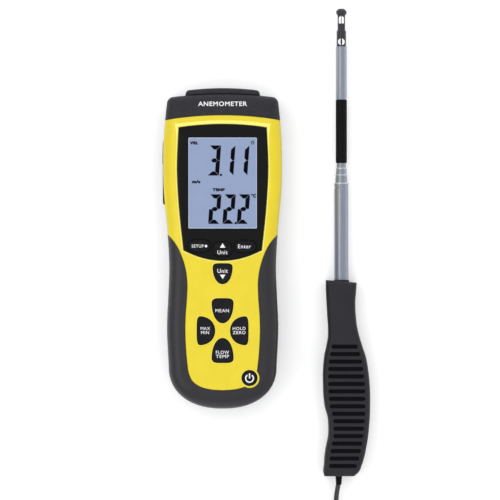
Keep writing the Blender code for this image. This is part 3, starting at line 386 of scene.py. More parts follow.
def around(x, y, *steps):
    """Points that lie the given millimetres from (x, y)."""
    return [(x + across * MM, y + along * MM) for across, along in steps]


def mirrored(right):
    """A closed outline from its right half, which starts and ends on the centreline."""
    return right + [(-x, y) for x, y in right[-2:0:-1]]


def placed(outline, at):
    return [(x + at[0], y + at[1]) for x, y in outline]


def widened(span, by=GAP):
    return (span[0] - by, span[1] + by)


# ---- materials ----


GRAIN_DEPTH = 0.00008
LOOKS = {}


def set_inputs(node, **values):
    """Sets a node's sockets by name, with _ for a space."""
    for key, value in values.items():
        node.inputs[key.replace("_", " ")].default_value = value
    return node


def look(name, colour, rough, metal=0.0, spec=0.5, grain=2500, bump=0.15, mottle=90, spread=0.05,
         speck=0.0, stretch=(1, 1, 1), wear=0.07):
    """A procedural finish: broad tones, fine specks, uneven gloss, a moulded or drawn grain."""
    made = bpy.data.materials.new(name)
    made.use_nodes = True
    tree = made.node_tree
    link = tree.links.new
    shader = tree.nodes["Principled BSDF"]
    set_inputs(shader, Metallic=metal, Specular_IOR_Level=spec)

    def node(kind, **inputs):
        return set_inputs(tree.nodes.new("ShaderNode" + kind), **inputs)

    coord = node("TexCoord")
    place = node("Mapping", Scale=stretch)
    link(coord.outputs["Object"], place.inputs["Vector"])

    def noise(scale, detail):
        new = node("TexNoise", Scale=scale, Detail=detail)
        link(place.outputs["Vector"], new.inputs["Vector"])
        return new.outputs["Fac"]

    def ranged(source, low, high, start=0.3, end=0.7):
        new = node("MapRange", From_Min=start, From_Max=end, To_Min=low, To_Max=high)
        link(source, new.inputs["Value"])
        return new.outputs["Result"]

    def toned(factor, one, two):
        new = node("Mix")
        new.data_type = "RGBA"
        link(factor, new.inputs["Factor"])
        for socket, value in ((new.inputs["A"], one), (new.inputs["B"], two)):
            if isinstance(value, tuple):
                socket.default_value = (*[min(max(c, 0.0), 1.0) for c in value], 1)
            else:
                link(value, socket)
        return new.outputs["Result"]

    dark = tuple(c * (1 - spread) for c in colour)
    light = tuple(c * (1 + spread) for c in colour)
    tone = toned(ranged(noise(mottle, 4), 0, 1), dark, light)
    fine = noise(grain, 3)
    if speck:
        pale = tuple(c * (1 + 2.2 * speck) + 0.012 * speck for c in colour)
        tone = toned(ranged(fine, 0, 1, 0.55, 0.72), tone, pale)
    link(tone, shader.inputs["Base Color"])
    gloss = ranged(noise(mottle * 5, 3), rough - wear, rough + wear)
    link(gloss, shader.inputs["Roughness"])
    relief = node("Bump", Strength=bump, Distance=GRAIN_DEPTH)
    link(fine, relief.inputs["Height"])
    link(relief.outputs["Normal"], shader.inputs["Normal"])
    LOOKS[name] = made
    return made


EDGE_TINT = (0.12, 0.12, 0.14)  # darkens the metals where they turn away from the view
look("yellow_abs", (0.72, 0.575, 0.023), 0.36, bump=0.1, spread=0.025)
# Lighter copy of yellow_abs: painted highlight on the key lips.
look("key_lip_painted_highlight", (0.8, 0.68, 0.07), 0.32, bump=0.05, spread=0.01)
# Lighter copy of yellow_abs: painted highlight on the display window's lip.
look("lens_lip_painted_highlight", (0.85, 0.79, 0.165), 0.3, bump=0.05, spread=0.01)
look("dark_abs", (0.0215, 0.0205, 0.0255), 0.55, spec=0.28, grain=1900, bump=0.5, speck=0.5)
look("grip_rubber", (0.0225, 0.0215, 0.0255), 0.4, grain=3200, bump=0.3, speck=0.15)
look("nickel", (0.66, 0.64, 0.6), 0.28, metal=1, bump=0.08)
look("black_plastic", (0.0045, 0.0045, 0.005), 0.5, spec=0.16, bump=0.2)
# Dark sheets laid on the handle's slot floors: painted shade.
look("slot_shade", (0.004, 0.0038, 0.005), 0.7, spec=0.1, bump=0.2)
look("panel_key", (0.0065, 0.0065, 0.0075), 0.28, spec=0.22, grain=2600, bump=0.08)
look("head_plastic", (0.03, 0.03, 0.036), 0.42, bump=0.12)
look("lens_black", (0.0055, 0.0055, 0.006), 0.14, spec=0.25, grain=700, bump=0.01, wear=0.03)
look("lcd_glass", (0.243, 0.303, 0.458), 0.3, spec=0.3, grain=4200, bump=0.03, spread=0.02,
     wear=0.03)
look("lcd_edge", (0.47, 0.53, 0.66), 0.35, spec=0.3, bump=0.03)
look("lcd_ink", (0.002, 0.002, 0.004), 0.5, spec=0.05, bump=0.02)
look("light_guide", (0.72, 0.75, 0.8), 0.35)
look("circuit_board", (0.015, 0.14, 0.05), 0.45, grain=1300, bump=0.3, speck=0.3, spread=0.15)
look("silicone", (0.42, 0.43, 0.45), 0.55, bump=0.1)
look("key_rubber", (0.0075, 0.0075, 0.0115), 0.5, spec=0.22, grain=3000, bump=0.25)
look("legend", (0.8, 0.8, 0.8), 0.5, spec=0.2, bump=0.05, spread=0.03)
look("battery_can", (0.1, 0.11, 0.13), 0.35, metal=0.6, bump=0.1)
look("screw_steel", (0.5, 0.5, 0.51), 0.32, metal=1, bump=0.1)
look("handle_rubber", (0.0185, 0.0175, 0.0215), 0.55, spec=0.32, grain=2600, bump=0.35, speck=0.25)
look("chrome", (0.375, 0.405, 0.485), 0.36, metal=0.7, grain=900, bump=0.05, mottle=60,
     stretch=(1, 0.06, 1))
# Lighter copy of the chrome: painted highlight on the rolled tube mouths.
look("mouth_rim_painted_highlight", (0.62, 0.67, 0.78), 0.3, metal=0.6, bump=0.02)
look("guard_metal", (0.4, 0.425, 0.5), 0.36, metal=0.7, grain=900, bump=0.06, stretch=(1, 0.06,
     1))
look("cable_rubber", (0.035, 0.035, 0.037), 0.45, grain=2200, bump=0.3)
look("sensor_glass", (0.42, 0.43, 0.45), 0.2, bump=0.02)
for metal_look in ("chrome", "guard_metal", "mouth_rim_painted_highlight"):
    set_inputs(LOOKS[metal_look].node_tree.nodes["Principled BSDF"], Specular_Tint=(*EDGE_TINT, 1))


def finish(obj, material, body, *nodes, smooth=32):
    """Gives a finished piece its looks, and ties it to its body and the nodes it stands for."""
    if obj.type == "MESH":
        obj.data.materials.clear()
        obj.data.materials.append(LOOKS[material])
        obj.data.polygons.foreach_set("material_index", [0] * len(obj.data.polygons))
        obj.data.shade_smooth()
        obj.data.set_sharp_from_angle(angle=radians(smooth))
    else:
        obj.data.materials.append(LOOKS[material])
    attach(obj, body)
    if nodes:
        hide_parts(*nodes)
    return obj


# ---- camera, light and floor ----


CAMERA_LENS = 438.4
CAMERA_AT = (0.0179, -0.0011, 4.025)
LIGHT_AIM = (0.02, 0.0, 0.02)
SOFTBOXES = (  # name, place, size, watts
    ("left_light", (-0.6, 0.1, 1.05), (1.4, 0.35), 2.3),
    ("right_light", (1.5, 0.05, 0.55), (1.7, 0.4), 1.2),
    ("top_light", (0.25, 1.5, 0.8), (1.2, 0.4), 3),
    ("low_light", (0.0, -1.6, 0.7), (1.2, 0.4), 2.2),
)
CEILING_POWER = 2.15
PAPER_GLOW = 0.28


def add_camera():
    data = bpy.data.cameras.new("camera")
    data.sensor_width = 36
    data.lens = CAMERA_LENS
    data.clip_end = 20
    camera = linked("camera", data)
    camera.location = CAMERA_AT
    SCENE.camera = camera


def add_softbox(name, place, size, power):
    """A rectangular light that faces the middle of the view."""
    data = bpy.data.lights.new(name, "AREA")
    data.shape = "RECTANGLE"
    data.size, data.size_y = size
    data.energy = power
    light = linked(name, data)
    light.location = place
    aim = np.array(LIGHT_AIM) - np.array(place)
    tilt = atan2(hypot(aim[0], aim[1]), -aim[2])
    light.rotation_euler = (tilt, 0.0, atan2(aim[1], aim[0]) - pi / 2)


def add_stage():
    world = bpy.data.worlds.new("studio")
    world.use_nodes = True
    set_inputs(world.node_tree.nodes["Background"], Color=(0.96, 0.98, 1.0, 1), Strength=0.36)
    SCENE.world = world
    for softbox in SOFTBOXES:
        add_softbox(*softbox)
    data = bpy.data.lights.new("ceiling_light", "SUN")
    data.energy = CEILING_POWER
    data.angle = radians(66)
    linked("ceiling_light", data).visible_glossy = False
    floor = prism("floor", [(-3, -3), (3, -3), (3, 3), (-3, 3)], -0.012, -0.0002)
    paper = look("floor", (0.8, 0.8, 0.8), 0.8, spec=0.1, grain=60, bump=0.01, spread=0.005)
    shader = paper.node_tree.nodes["Principled BSDF"]
    set_inputs(shader, Emission_Color=(1, 1, 1, 1), Emission_Strength=PAPER_GLOW)
    floor.data.materials.append(paper)
    SCENE.view_settings.view_transform = "Standard"
    SCENE.view_settings.look = "None"


# ---- cord ----

CORD_STEP = 0.8 * MM  # points closer than this are left out of the cord's line
COIL_LAYERS = 4
LAYER_TURNS = 2.6875
RISE_TURNS = 0.5
CORD_EXIT = mm(76.4, -150, 12.5)
CORD_LEAD = mm(
    (76.4, -144, 12.5), (76.4, -150, 12.5), (76.1, -155, 12), (75.2, -161, 9.6), (74.8, -167, 6),
    (75.8, -173, 3.2), (77.6, -179.5, 1.9), (79.3, -187, 1.6),
)
CORD_TAIL = mm(
    (49.5, -218.4, 10.6), (42, -219, 7.6), (35.5, -219.2, 3.6), (29, -218.4, 1.8),
    (24, -215.6, 1.9), (20.9, -211.5, 3.6), (20, -207, 5.4), (20, -203, 5.6),
)


def coil_line():
    """The wound turns: four flat layers that run inwards and outwards by turns."""
    pitch = 2 * CABLE_RADIUS
    half = pitch * LAYER_TURNS / 2
    line = []

    def wind(turn, radius, height):
        line.append((*polar(radius, -2 * pi * turn, COIL_AT), height))

    turn = 0.0
    for layer in range(COIL_LAYERS):
        start, end = (half, -half) if layer % 2 == 0 else (-half, half)
        height = CABLE_RADIUS + pitch * layer
        for t in np.linspace(0, 1, int(LAYER_TURNS * 28) + 1):
            wind(turn + LAYER_TURNS * t, COIL_RADIUS + start + (end - start) * t, height)
        turn += LAYER_TURNS
        if layer < COIL_LAYERS - 1:
            for t in np.linspace(0, 1, 15)[1:-1]:
                rise = t * t * (3 - 2 * t)
                wind(turn + RISE_TURNS * t, COIL_RADIUS + end, height + pitch * rise)
            turn += RISE_TURNS
    return line


def add_cord():
    wound = coil_line()
    lead = smooth_line(CORD_LEAD + (wound[0], wound[2]), 34)
    tail = smooth_line((wound[-3], wound[-1]) + CORD_TAIL, 34)
    enter = min(range(len(lead)), key=lambda i: dist(lead[i], wound[0]))
    leave = min(range(len(tail)), key=lambda i: dist(tail[i], wound[-1]))
    line = lead[:enter] + wound + tail[leave + 1:]
    keep = [line[0]]
    for point in line[1:]:
        if dist(point, keep[-1]) > CORD_STEP:
            keep.append(point)
    curve = bpy.data.curves.new("cable", "CURVE")
    curve.dimensions = "3D"
    curve.bevel_depth = CABLE_RADIUS
    curve.bevel_resolution = 5
    curve.use_fill_caps = True
    spline = curve.splines.new("POLY")
    spline.points.add(len(keep) - 1)
    for point, place in zip(spline.points, keep):
        point.co = (*place, 1.0)
    spline.use_smooth = True
    cable = linked("cable", curve)
    finish(cable, "cable_rubber", "probe", "probe_cable", "cable_coil")
    grip, shell = add_plug()


def add_plug():
    x, y, z = PLUG_AT
    radius, long = PLUG_GRIP
    top = y + long
    profile = [(0, top), (radius - 0.9 * MM, top)]
    profile += [(radius - d, top - h) for d, h in reversed(rounded_edge(0.7 * MM, 0.7 * MM, 4))]
    for k in range(6):
        at = top - 2.6 * MM - k * 1.9 * MM
        profile += around(radius, at, (0, 0), (-0.45, -0.25), (-0.45, -0.95), (0, -1.2))
    profile += around(radius, y, (-0.1, 9.6), (-1.1, 7.6))
    for k in range(4):
        at = y + 7 * MM - k * 1.75 * MM
        wide = radius - 1.5 * MM - 0.45 * MM * k
        profile += around(wide, at, (0, 0), (0, -1), (-0.6, -1.15), (-0.6, -1.6))
    profile += [(2 * MM, y), (0, y)]
    grip = finish(turned("plug_body", profile, (x, 0, z)), "black_plastic", "probe", "plug_grip")
    radius, long = PLUG_SHELL
    start = top + GAP
    end = start + long
    profile = [(0, start + 2 * MM), (radius - 0.5 * MM, start + 2 * MM)]
    profile += around(radius, end, (-0.5, -0.1), (-0.4, 0), (-0.15, 0), (0, -0.2))
    profile += around(radius, start, (0, 3.2), (-0.3, 3), (-0.3, 2.2), (0, 2), (0, 0))
    profile += [(0, start)]
    shell = [turned("ring", profile[::-1], (x, 0, z))]
    for px, pz in ring_points(2.1 * MM, 4):
        place = (x + px, z + pz)
        shell.append(rod("pin", 0.5 * MM, start + 1.8 * MM, end - 1.5 * MM, place, steps=12))
    return grip, finish(merged("plug_contact", shell), "nickel", "probe", "plug_shell")


# ---- meter forms ----


def body_outline(inset):
    """The meter's outline, drawn in by inset on every side."""
    right = []
    for k in range(30):
        turn = pi / 2 * k / 30
        x = (SIDE[0][1] - inset) * sin(turn) ** (2 / END_POWER)
        y = BODY_END + END_HEIGHT - (END_HEIGHT - inset) * cos(turn) ** (2 / END_POWER)
        right.append((x, y))
    radius = max(TOP_CORNER - inset, 0.8 * MM)
    corner_y = BODY_TOP - TOP_DROP - inset - radius
    for y in np.linspace(SIDE[0][0], corner_y, 44):
        right.append((blended(SIDE, y, 1) - inset, y))
    corner_x = right[-1][0] - radius
    right += [polar(radius, pi / 2 * k / 10, (corner_x, corner_y)) for k in range(1, 10)]
    for x in np.linspace(corner_x, 0, 14):
        right.append((x, BODY_TOP - inset - TOP_DROP * (x / corner_x) ** 2))
    return mirrored(right)


def body_form(name, inset):
    """The meter's whole outer form, drawn in by inset."""
    back, wide, fall = (max(r - inset, 0.4 * MM) for r in (BACK_ROUND, FRONT_ROUND, FRONT_FALL))
    low = [(inset + h, inset + d) for h, d in rounded_edge(back, back, 6)]
    foot = METER_DEPTH - inset - fall
    high = [(foot + (fall - down), inset + d) for d, down in rounded_edge(wide, fall, 12)]
    return stack(name, body_outline, low + high)


def cap_zone(name, grow):
    """Everything beyond the cap's lower edge, made larger by grow."""
    edge = []
    for x in np.linspace(*ACROSS, 61):
        edge.append((x, CAP_EDGE - grow - CAP_EDGE_DROP * min(abs(x) / SHOULDER, 1.2) ** 2))
    return prism(name, edge + [(ACROSS[1], BEYOND), (ACROSS[0], BEYOND)], SKIN_LOW - grow, ABOVE)


def grip_zone(name, grow):
    """Everything outside the yellow tongue, made larger by grow."""
    edge = [tuple(p) for p in shifted(smooth_line(TONGUE, 90), -grow)]
    edge[-1] = (0.0, edge[-1][1])
    left = [(-x, y) for x, y in edge[-2::-1]]
    line = [(ACROSS[1], edge[0][1])] + edge + left + [(ACROSS[0], edge[0][1])]
    line += [(ACROSS[0], -BEYOND), (ACROSS[1], -BEYOND)]
    zone = prism(name, line, SKIN_LOW - grow, ABOVE)
    return cut(zone, rod("island", POWER_WIDTH / 2 + POWER_RIM - grow, 0, 0.1, POWER_AT, along="Z"))


def shell_form(name, inset):
    """The form that both shells share: stepped down where the cap and the bumper lie on it."""
    form = body_form(name, inset)
    for zone, wall in ((cap_zone, CAP_WALL), (grip_zone, GRIP_WALL)):
        cut(form, cut(zone("step", GAP + inset), body_form("core", wall + GAP + inset)))
    return form


def skin(name, zone, wall):
    made = cut(body_form(name, 0), body_form("core", wall))
    return combine(made, zone("zone", 0), "INTERSECT")


def cut_top_hole(obj, radius):
    """The round hole through the top end for the probe socket."""
    cut(obj, rod("hole", radius + GAP, 0.08, ALONG[1], (0.0, SOCKET_Z)))


def lens_outline(grow):
    """The black display window, made larger by grow."""
    shoulder = LENS_TOP - LENS_TOP_DROP
    table = (
        (LENS_BOTTOM, LENS_BOTTOM_HALF),
        (LENS_BOTTOM + 28 * MM, LENS_BOTTOM_HALF + 2.9 * MM),
        LENS_MID,
        (shoulder, LENS_TOP_HALF),
    )
    right = []
    for x in np.linspace(0, LENS_BOTTOM_HALF, 24)[:-1]:
        sag = LENS_BOTTOM_SAG * (1 - (x / LENS_BOTTOM_HALF) ** 2)
        right.append((x, LENS_BOTTOM - grow - sag))
    for y in np.linspace(LENS_BOTTOM, shoulder, 30):
        end = {LENS_BOTTOM: -grow, shoulder: grow}.get(y, 0.0)
        right.append((blended(table, y, 1) + grow, y + end))
    for x in np.linspace(LENS_TOP_HALF, 0, 24)[1:]:
        right.append((x, LENS_TOP + grow - LENS_TOP_DROP * (x / LENS_TOP_HALF) ** 2))
    return mirrored(right)


# ---- keys ----


def shield(across, along, turns, grow):
    """A key outline with a gently arched back and a round point."""
    steps = 34
    right = []
    for k in range(steps + 1):
        down = (1 - cos(pi * k / steps)) / 2
        back = (1 - (1 - min(down / 0.3, 1)) ** 4) ** 0.25
        point = max(1 - down**2.6, 0.0) ** 0.5
        right.append(((across / 2 + grow) * back * point, (along / 2 + grow) * (1 - 2 * down)))
    c, s = (round(part) for part in polar(1, pi / 2 * turns))
    return [(x * c - y * s, x * s + y * c) for x, y in mirrored(right)]


def rounded(width, height, grow):
    """A soft-cornered key outline."""
    outline = []
    for c, s in ring_points(1, 64):
        x = (width / 2 + grow) * copysign(abs(c) ** 0.75, c)
        y = (height / 2 + grow) * copysign(abs(s) ** 0.75, s)
        outline.append((x, y))
    return outline


def key_plans():
    """(name, outline for a growth, centre, how proud its top is) of every key."""
    plans = []
    for name, size, at, turns in SHIELD_KEYS:
        plans.append((name, lambda g, s=size, t=turns: shield(*s, t, g), at, KEY_PROUD))
    for name, size, at in PANEL_KEYS:
        plans.append((name, lambda g, s=size: rounded(*s, g), at, PANEL_KEY_PROUD))
    plans.append(("key_power", lambda g: ring_points(POWER_WIDTH / 2 + g, 64), POWER_AT, KEY_PROUD))
    return plans


MARK_SUNK = 0.02 * MM  # how far printing reaches into its surface and out of it
MARK_PROUD = 0.03 * MM
INK_PROUD = 0.04 * MM
KEY_DISH = 0.12 * MM  # how far a rubber key's face lies below its shoulder


def word(name, text, spans, z, material, body, bold=0.006):
    """Generic lettering fitted into spans (left, right, bottom, top) in mm, just above height z."""
    left, right, bottom, top = mm(*spans)
    curve = bpy.data.curves.new(name, "FONT")
    curve.body = text
    curve.extrude = 0.06
    curve.offset = bold
    curve.space_character = 1.12
    curve.resolution_u = 4
    source = linked(name, curve)
    mesh = evaluated_mesh(source)
    bpy.data.objects.remove(source, do_unlink=True)
    co = np.array([v.co[:] for v in mesh.vertices])
    low, high = co.min(0), co.max(0)
    target_low = np.array((left, bottom, z - MARK_SUNK))
    target_high = np.array((right, top, z + MARK_PROUD))
    co = target_low + (co - low) / (high - low) * (target_high - target_low)
    mesh.vertices.foreach_set("co", co.reshape(-1))
    return finish(linked(name, mesh), material, body, smooth=20)


def plate(outline, z, name="plate", proud=MARK_PROUD):
    """A thin printed shape on a surface of height z."""
    return prism(name, outline, z - MARK_SUNK, z + proud)


def mark(name, outline, z, body):
    return finish(plate(outline, z, name), "legend", body, smooth=20)


def add_keys():
    low = METER_DEPTH - WALL - GAP - KEY_FLANGE_THICK
    for name, outline, at, proud in key_plans():
        rubber = proud == KEY_PROUD
        top = FLAT + proud
        soft = (0.75 if rubber else 0.4) * MM
        seat = low + KEY_FLANGE_THICK
        levels = [(low, KEY_FLANGE), (seat, KEY_FLANGE), (seat, 0)]
        levels += [(top - down, -across) for across, down in rounded_edge(soft * 1.3, soft, 6)]
        if rubber:
            levels.append((top - KEY_DISH, -soft * 1.3 - 0.35 * MM))
        material = "key_rubber" if rubber else "panel_key"
        finish(stack(name + "_cap", outline, levels, at), material, name, name)
    top = FLAT + KEY_PROUD - KEY_DISH
    panel = FLAT + PANEL_KEY_PROUD
    for name, text, spans, z, body in (
        ("word_setup", "SETUP", (-20.2, -12.4, 0.4, 2.5), panel, "key_setup"),
        ("word_enter", "Enter", (10.1, 18.6, 0, 2.5), panel, "key_enter"),
        ("word_unit_up", "Unit", (-3.4, 3.2, -3.9, -1.3), panel, "key_up"),
        ("word_unit_down", "Unit", (-3.4, 3.4, -16.1, -13.4), top, "key_down"),
        ("word_mean", "MEAN", (-4.7, 4.1, -41.8, -39.7), top, "key_mean"),
        ("word_max", "MAX", (-14.4, -8.2, -53.4, -51.4), top, "key_max_min"),
        ("word_min", "MIN", (-14.1, -8.9, -56.1, -54.1), top, "key_max_min"),
        ("word_hold", "HOLD", (6.6, 15, -53.4, -51.4), top, "key_hold_zero"),
        ("word_zero", "ZERO", (6.6, 15, -56.1, -54.1), top, "key_hold_zero"),
        ("word_flow", "FLOW", (-4.4, 4.2, -69, -66.9), top, "key_flow_temp"),
        ("word_temp", "TEMP", (-4.4, 4.2, -71.7, -69.6), top, "key_flow_temp"),
    ):
        word(name, text, spans, z, "legend", body)
    dot = placed(ring_points(0.85 * MM, 32), mm(-10.9, 1.45))
    mark("dot_setup", dot, panel, "key_setup")
    mark("arrow_up", mm((-1.8, 0.4), (1.8, 0.4), (0, 3.3)), panel, "key_up")
    mark("arrow_down", mm((-1.8, -17.2), (0, -20.1), (1.8, -17.2)), top, "key_down")
    x, y = POWER_AT
    middle = (x, y - 0.2 * MM)
    arc = [radians(125 + 290 * k / 40) for k in range(41)]
    outer = [polar(2.95 * MM, t, middle) for t in arc]
    inner = [polar(2.1 * MM, t, middle) for t in arc[::-1]]
    bar = around(x, y, (-0.42, -0.3), (0.42, -0.3), (0.42, 3.1), (-0.42, 3.1))
    sign = merged("power_sign", [plate(outer + inner, top), plate(bar, top)])
    finish(sign, "legend", "key_power", smooth=20)


# ---- meter pieces ----


LIP_WIDTH = 2.3 * MM
LIP_THIN = 0.34
LIP_PROFILE = (  # (share of the width, millimetres above the front)
    (0, -0.4), (0, 0.1), (0.12, 0.22), (0.5, 0.3), (0.85, 0.2), (1, 0), (1, -0.4),
)
KEY_LIP = (  # millimetres outwards from the key's hole and above the front
    (0, -0.4), (0, 0.25), (0.12, 0.42), (0.35, 0.5), (0.62, 0.42), (0.8, 0.2), (0.85, -0.4),
)


def add_lens_lip():
    """The raised rim round the display window, broad along the top and thin down the sides."""
    outlines = [lens_outline(grow) for grow in (GAP, LIP_WIDTH + GAP)]
    climb = LENS_TOP - LENS_TOP_DROP - LENS_MID[0]
    rings = []
    for share, z in LIP_PROFILE:
        ring = []
        for inner, outer in zip(*outlines):
            rise = min(max((inner[1] - LENS_MID[0]) / climb, 0.0), 1.0)
            t = share * (LIP_THIN + (1 - LIP_THIN) * rise**6)
            x, y = (a + (b - a) * t for a, b in zip(inner, outer))
            ring.append((x, y, FLAT + z * MM))
        rings.append(ring)
    # The lip's lighter yellow is painted highlight.
    finish(loft("lens_lip", rings, closed=True), "lens_lip_painted_highlight", "meter", smooth=50)


def add_front():
    shell = cut(shell_form("meter_front", 0), shell_form("cavity", WALL))
    pad_x = (FLAP_X[1] - 0.4 * MM, FLAP_X[1] + FLAP_PAD)
    pad_z = (SPLIT - 4 * MM, METER_DEPTH - 3 * MM)
    join(shell, box("pad", pad_x, widened(FLAP_Y, 3 * MM), pad_z))
    cut(shell, box("below", ACROSS, ALONG, (BELOW, SPLIT + GAP / 2)))
    recess_x = (ACROSS[0], FLAP_X[1] + GAP)
    cut(shell, box("recess", recess_x, widened(FLAP_Y), widened(FLAP_Z)))
    port_y = (USB_Y - USB_SIZE[1] / 2 - GAP, USB_Y + USB_SIZE[1] / 2 + GAP)
    port_top = BOARD_TOP - BOARD_THICK - GAP
    port_z = widened((port_top - USB_SIZE[2], port_top))
    cut(shell, box("port", (ACROSS[0], -INSIDE), port_y, port_z))
    lens_seat = ((FLAT - LENS_THICK - GAP, GAP), (CLEAR, GAP))
    cut(shell, stack("lens_seat", lens_outline, lens_seat))
    window_x = (-GLASS_HALF - GAP, GLASS_HALF + GAP)
    cut(shell, box("window", window_x, widened(GLASS_Y), (INSIDE, CLEAR)))
    for _, outline, at, _ in key_plans():
        cut(shell, prism("hole", placed(outline(GAP), at), FLAT - 4 * MM, CLEAR))
    flange = POWER_WIDTH / 2 + KEY_FLANGE + GAP
    cut(shell, rod("flange_room", flange, INSIDE, FLAT - WALL, POWER_AT, along="Z"))
    cut_top_hole(shell, NECK_RADIUS)
    finish(shell, "yellow_abs", "meter", "front_shell")
    add_lens_lip()
    lips = []
    for _, outline, at, proud in key_plans():
        if proud == KEY_PROUD:
            profile = [(z, grow) for grow, z in around(GAP, FLAT, *KEY_LIP)]
            lips.append(stack("lip", outline, profile, at, closed=True))
    # The key lips' lighter yellow is painted highlight.
    finish(merged("key_lips", lips), "key_lip_painted_highlight", "meter", smooth=50)


def bay_x(wall):
    half = BATTERY[0] / 2 + BAY_CLEAR + wall
    return (-half, half)


def bay_y(wall):
    end = BATTERY_START + BATTERY[1] + SNAP_SIZE[1]
    return (BATTERY_START - BAY_CLEAR - wall, end + BAY_CLEAR + wall)


def add_back():
    shell = cut(shell_form("meter_back", 0), shell_form("cavity", WALL))
    pad_x = (-DOOR_HALF - 3 * MM, DOOR_HALF + 3 * MM)
    join(shell, box("pad", pad_x, widened(DOOR_Y, 2 * MM), (WALL - 0.4 * MM, WALL + DOOR_PAD)))
    bay_z = (WALL + 0.5 * MM, SPLIT - 0.6 * MM)
    join(shell, box("bay", bay_x(BAY_WALL), bay_y(BAY_WALL), bay_z))
    cut(shell, box("above", ACROSS, ALONG, (SPLIT - GAP / 2, 0.1)))
    for at in SCREW_POINTS:
        cut(shell, rod("screw_well", SCREW_HEAD_RADIUS + GAP, BELOW, SCREW_SEAT, at, along="Z"))
    cut(shell, box("bay_room", bay_x(0), bay_y(0), (BELOW, INSIDE)))
    door_x = (-DOOR_HALF - GAP, DOOR_HALF + GAP)
    cut(shell, box("door_seat", door_x, widened(DOOR_Y), (BELOW, DOOR_THICK + GAP)))
    cut_top_hole(shell, NECK_RADIUS)
    finish(shell, "dark_abs", "meter", "rear_shell")


def add_skins():
    cap = skin("meter_cap", cap_zone, CAP_WALL)
    cut_top_hole(cap, NECK_RADIUS)
    finish(cap, "dark_abs", "meter", "top_cap")
    word("word_kind", "ANEMOMETER", (-16, 16, 93, 96), FLAT, "legend", "meter", bold=0.018)
    finish(skin("meter_grips", grip_zone, GRIP_WALL), "grip_rubber", "meter", "grip_bumper")


def add_socket_block():
    rings = [(BLOCK_Z[0] + h, d) for d, h in mm((0.8, 0), (0.25, 0.25), (0, 0.8))]
    rings += [(BLOCK_Z[1] - h, d) for d, h in mm((0, 2.4), (0.3, 1.2), (1, 0.35), (2, 0))]

    def outline(inset):
        corner = 1.5 * MM
        half = BLOCK_HALF - inset * 0.6
        xs = np.linspace(-half, half, 41)
        reach = WAIST - TOP_CORNER
        lower = [(x, BODY_TOP + GAP - TOP_DROP * (x / reach) ** 2 * 0.82) for x in xs]
        upper = []
        for x in xs[::-1]:
            near = max(0.0, (abs(x) - (half - corner)) / corner)
            drop = corner * 0.8 * (1 - sqrt(max(0.0, 1 - near * near)))
            drop = BLOCK_DROP * (x / BLOCK_HALF) ** 2 + drop
            upper.append((x * 0.985, METER_LENGTH / 2 - inset - drop))
        return lower + upper

    block = stack("socket_block", outline, rings)
    join(block, rod("neck", NECK_RADIUS, NECK_END, BODY_TOP + 1.5 * MM, (0.0, SOCKET_Z)))
    cut_top_hole(block, SOCKET_RADIUS)
    finish(block, "dark_abs", "meter", "socket_housing")


def add_side_cover():
    """The rubber cover of the data socket, with a finger lip and a raised frame."""
    mid_y, mid_z = sum(FLAP_Y) / 2, sum(FLAP_Z) / 2
    half_y, half_z = (FLAP_Y[1] - FLAP_Y[0]) / 2, (FLAP_Z[1] - FLAP_Z[0]) / 2

    def ring(x, inset):
        outline = rounded_box(2 * (half_y - inset), 2 * (half_z - inset), 1.6 * MM)
        return [(x, mid_y + a, mid_z + b) for a, b in outline]

    out, back = FLAP_X
    levels = [(back, 0.0)] + around(out, 0, (0.9, 0), (0.45, 0.12), (0.15, 0.45), (0, 0.9),
                                    (0, 1.5), (0.35, 1.8), (0.35, 2.2))
    parts = [loft("cover", [ring(x, d) for x, d in levels])]
    for k in range(7):
        y = FLAP_Y[1] - 5.5 * MM - 1.5 * MM * k
        parts.append(box("rib", (out, out + 0.6 * MM), widened((y, y), 0.35 * MM),
                         widened((mid_z, mid_z), 4 * MM)))
    cover = merged("side_cover", parts)
    for vertex in cover.data.vertices:
        if vertex.co.x < out + 1 * MM:
            vertex.co.x += 0.8 * MM * abs((vertex.co.y - mid_y) / half_y) ** 3
    finish(cover, "grip_rubber", "side_flap", "side_flap")


def rounded_box(width, height, corner):
    """A rectangle with round corners, about the origin."""
    outline = []
    for sx, sy, start in ((1, 1, 0), (-1, 1, 90), (-1, -1, 180), (1, -1, 270)):
        middle = (sx * (width / 2 - corner), sy * (height / 2 - corner))
        outline += [polar(corner, radians(start + 90 * k / 6), middle) for k in range(7)]
    return outline


# ---- display ----

SEGMENTS = {"1": "bc", "2": "abged", "3": "abgcd"}
DIGIT = mm(7.35, 2.7)  # width and stroke
LEAN = 0.072
UPPER_ROW = mm(47.6, 67.3)
LOWER_ROW = mm(16, 35.3)


def digit(text, x, low, high):
    """One seven-segment figure with mitred bars."""
    w, t = DIGIT
    h = high - low
    m, g = h / 2, 0.13 * MM
    half = t / 2
    upper = [(w, h - g), (w, m + g), (w - half, m + g * 0.4), (w - t, m + half + g),
             (w - t, h - t - g)]
    lower = [(w, g), (w - t, t + g), (w - t, m - half - g), (w - half, m - g * 0.4), (w, m - g)]
    shapes = {
        "a": [(g, h), (w - g, h), (w - t - g, h - t), (t + g, h - t)],
        "b": upper,
        "c": lower,
        "d": [(g, 0), (t + g, t), (w - t - g, t), (w - g, 0)],
        "e": [(w - px, py) for px, py in lower],
        "g": [(half + g, m), (t + g, m + half), (w - t - g, m + half), (w - half - g, m),
              (w - t - g, m - half), (t + g, m - half)],
    }
    return [[(x + px + LEAN * py, low + py) for px, py in shapes[key]] for key in SEGMENTS[text]]


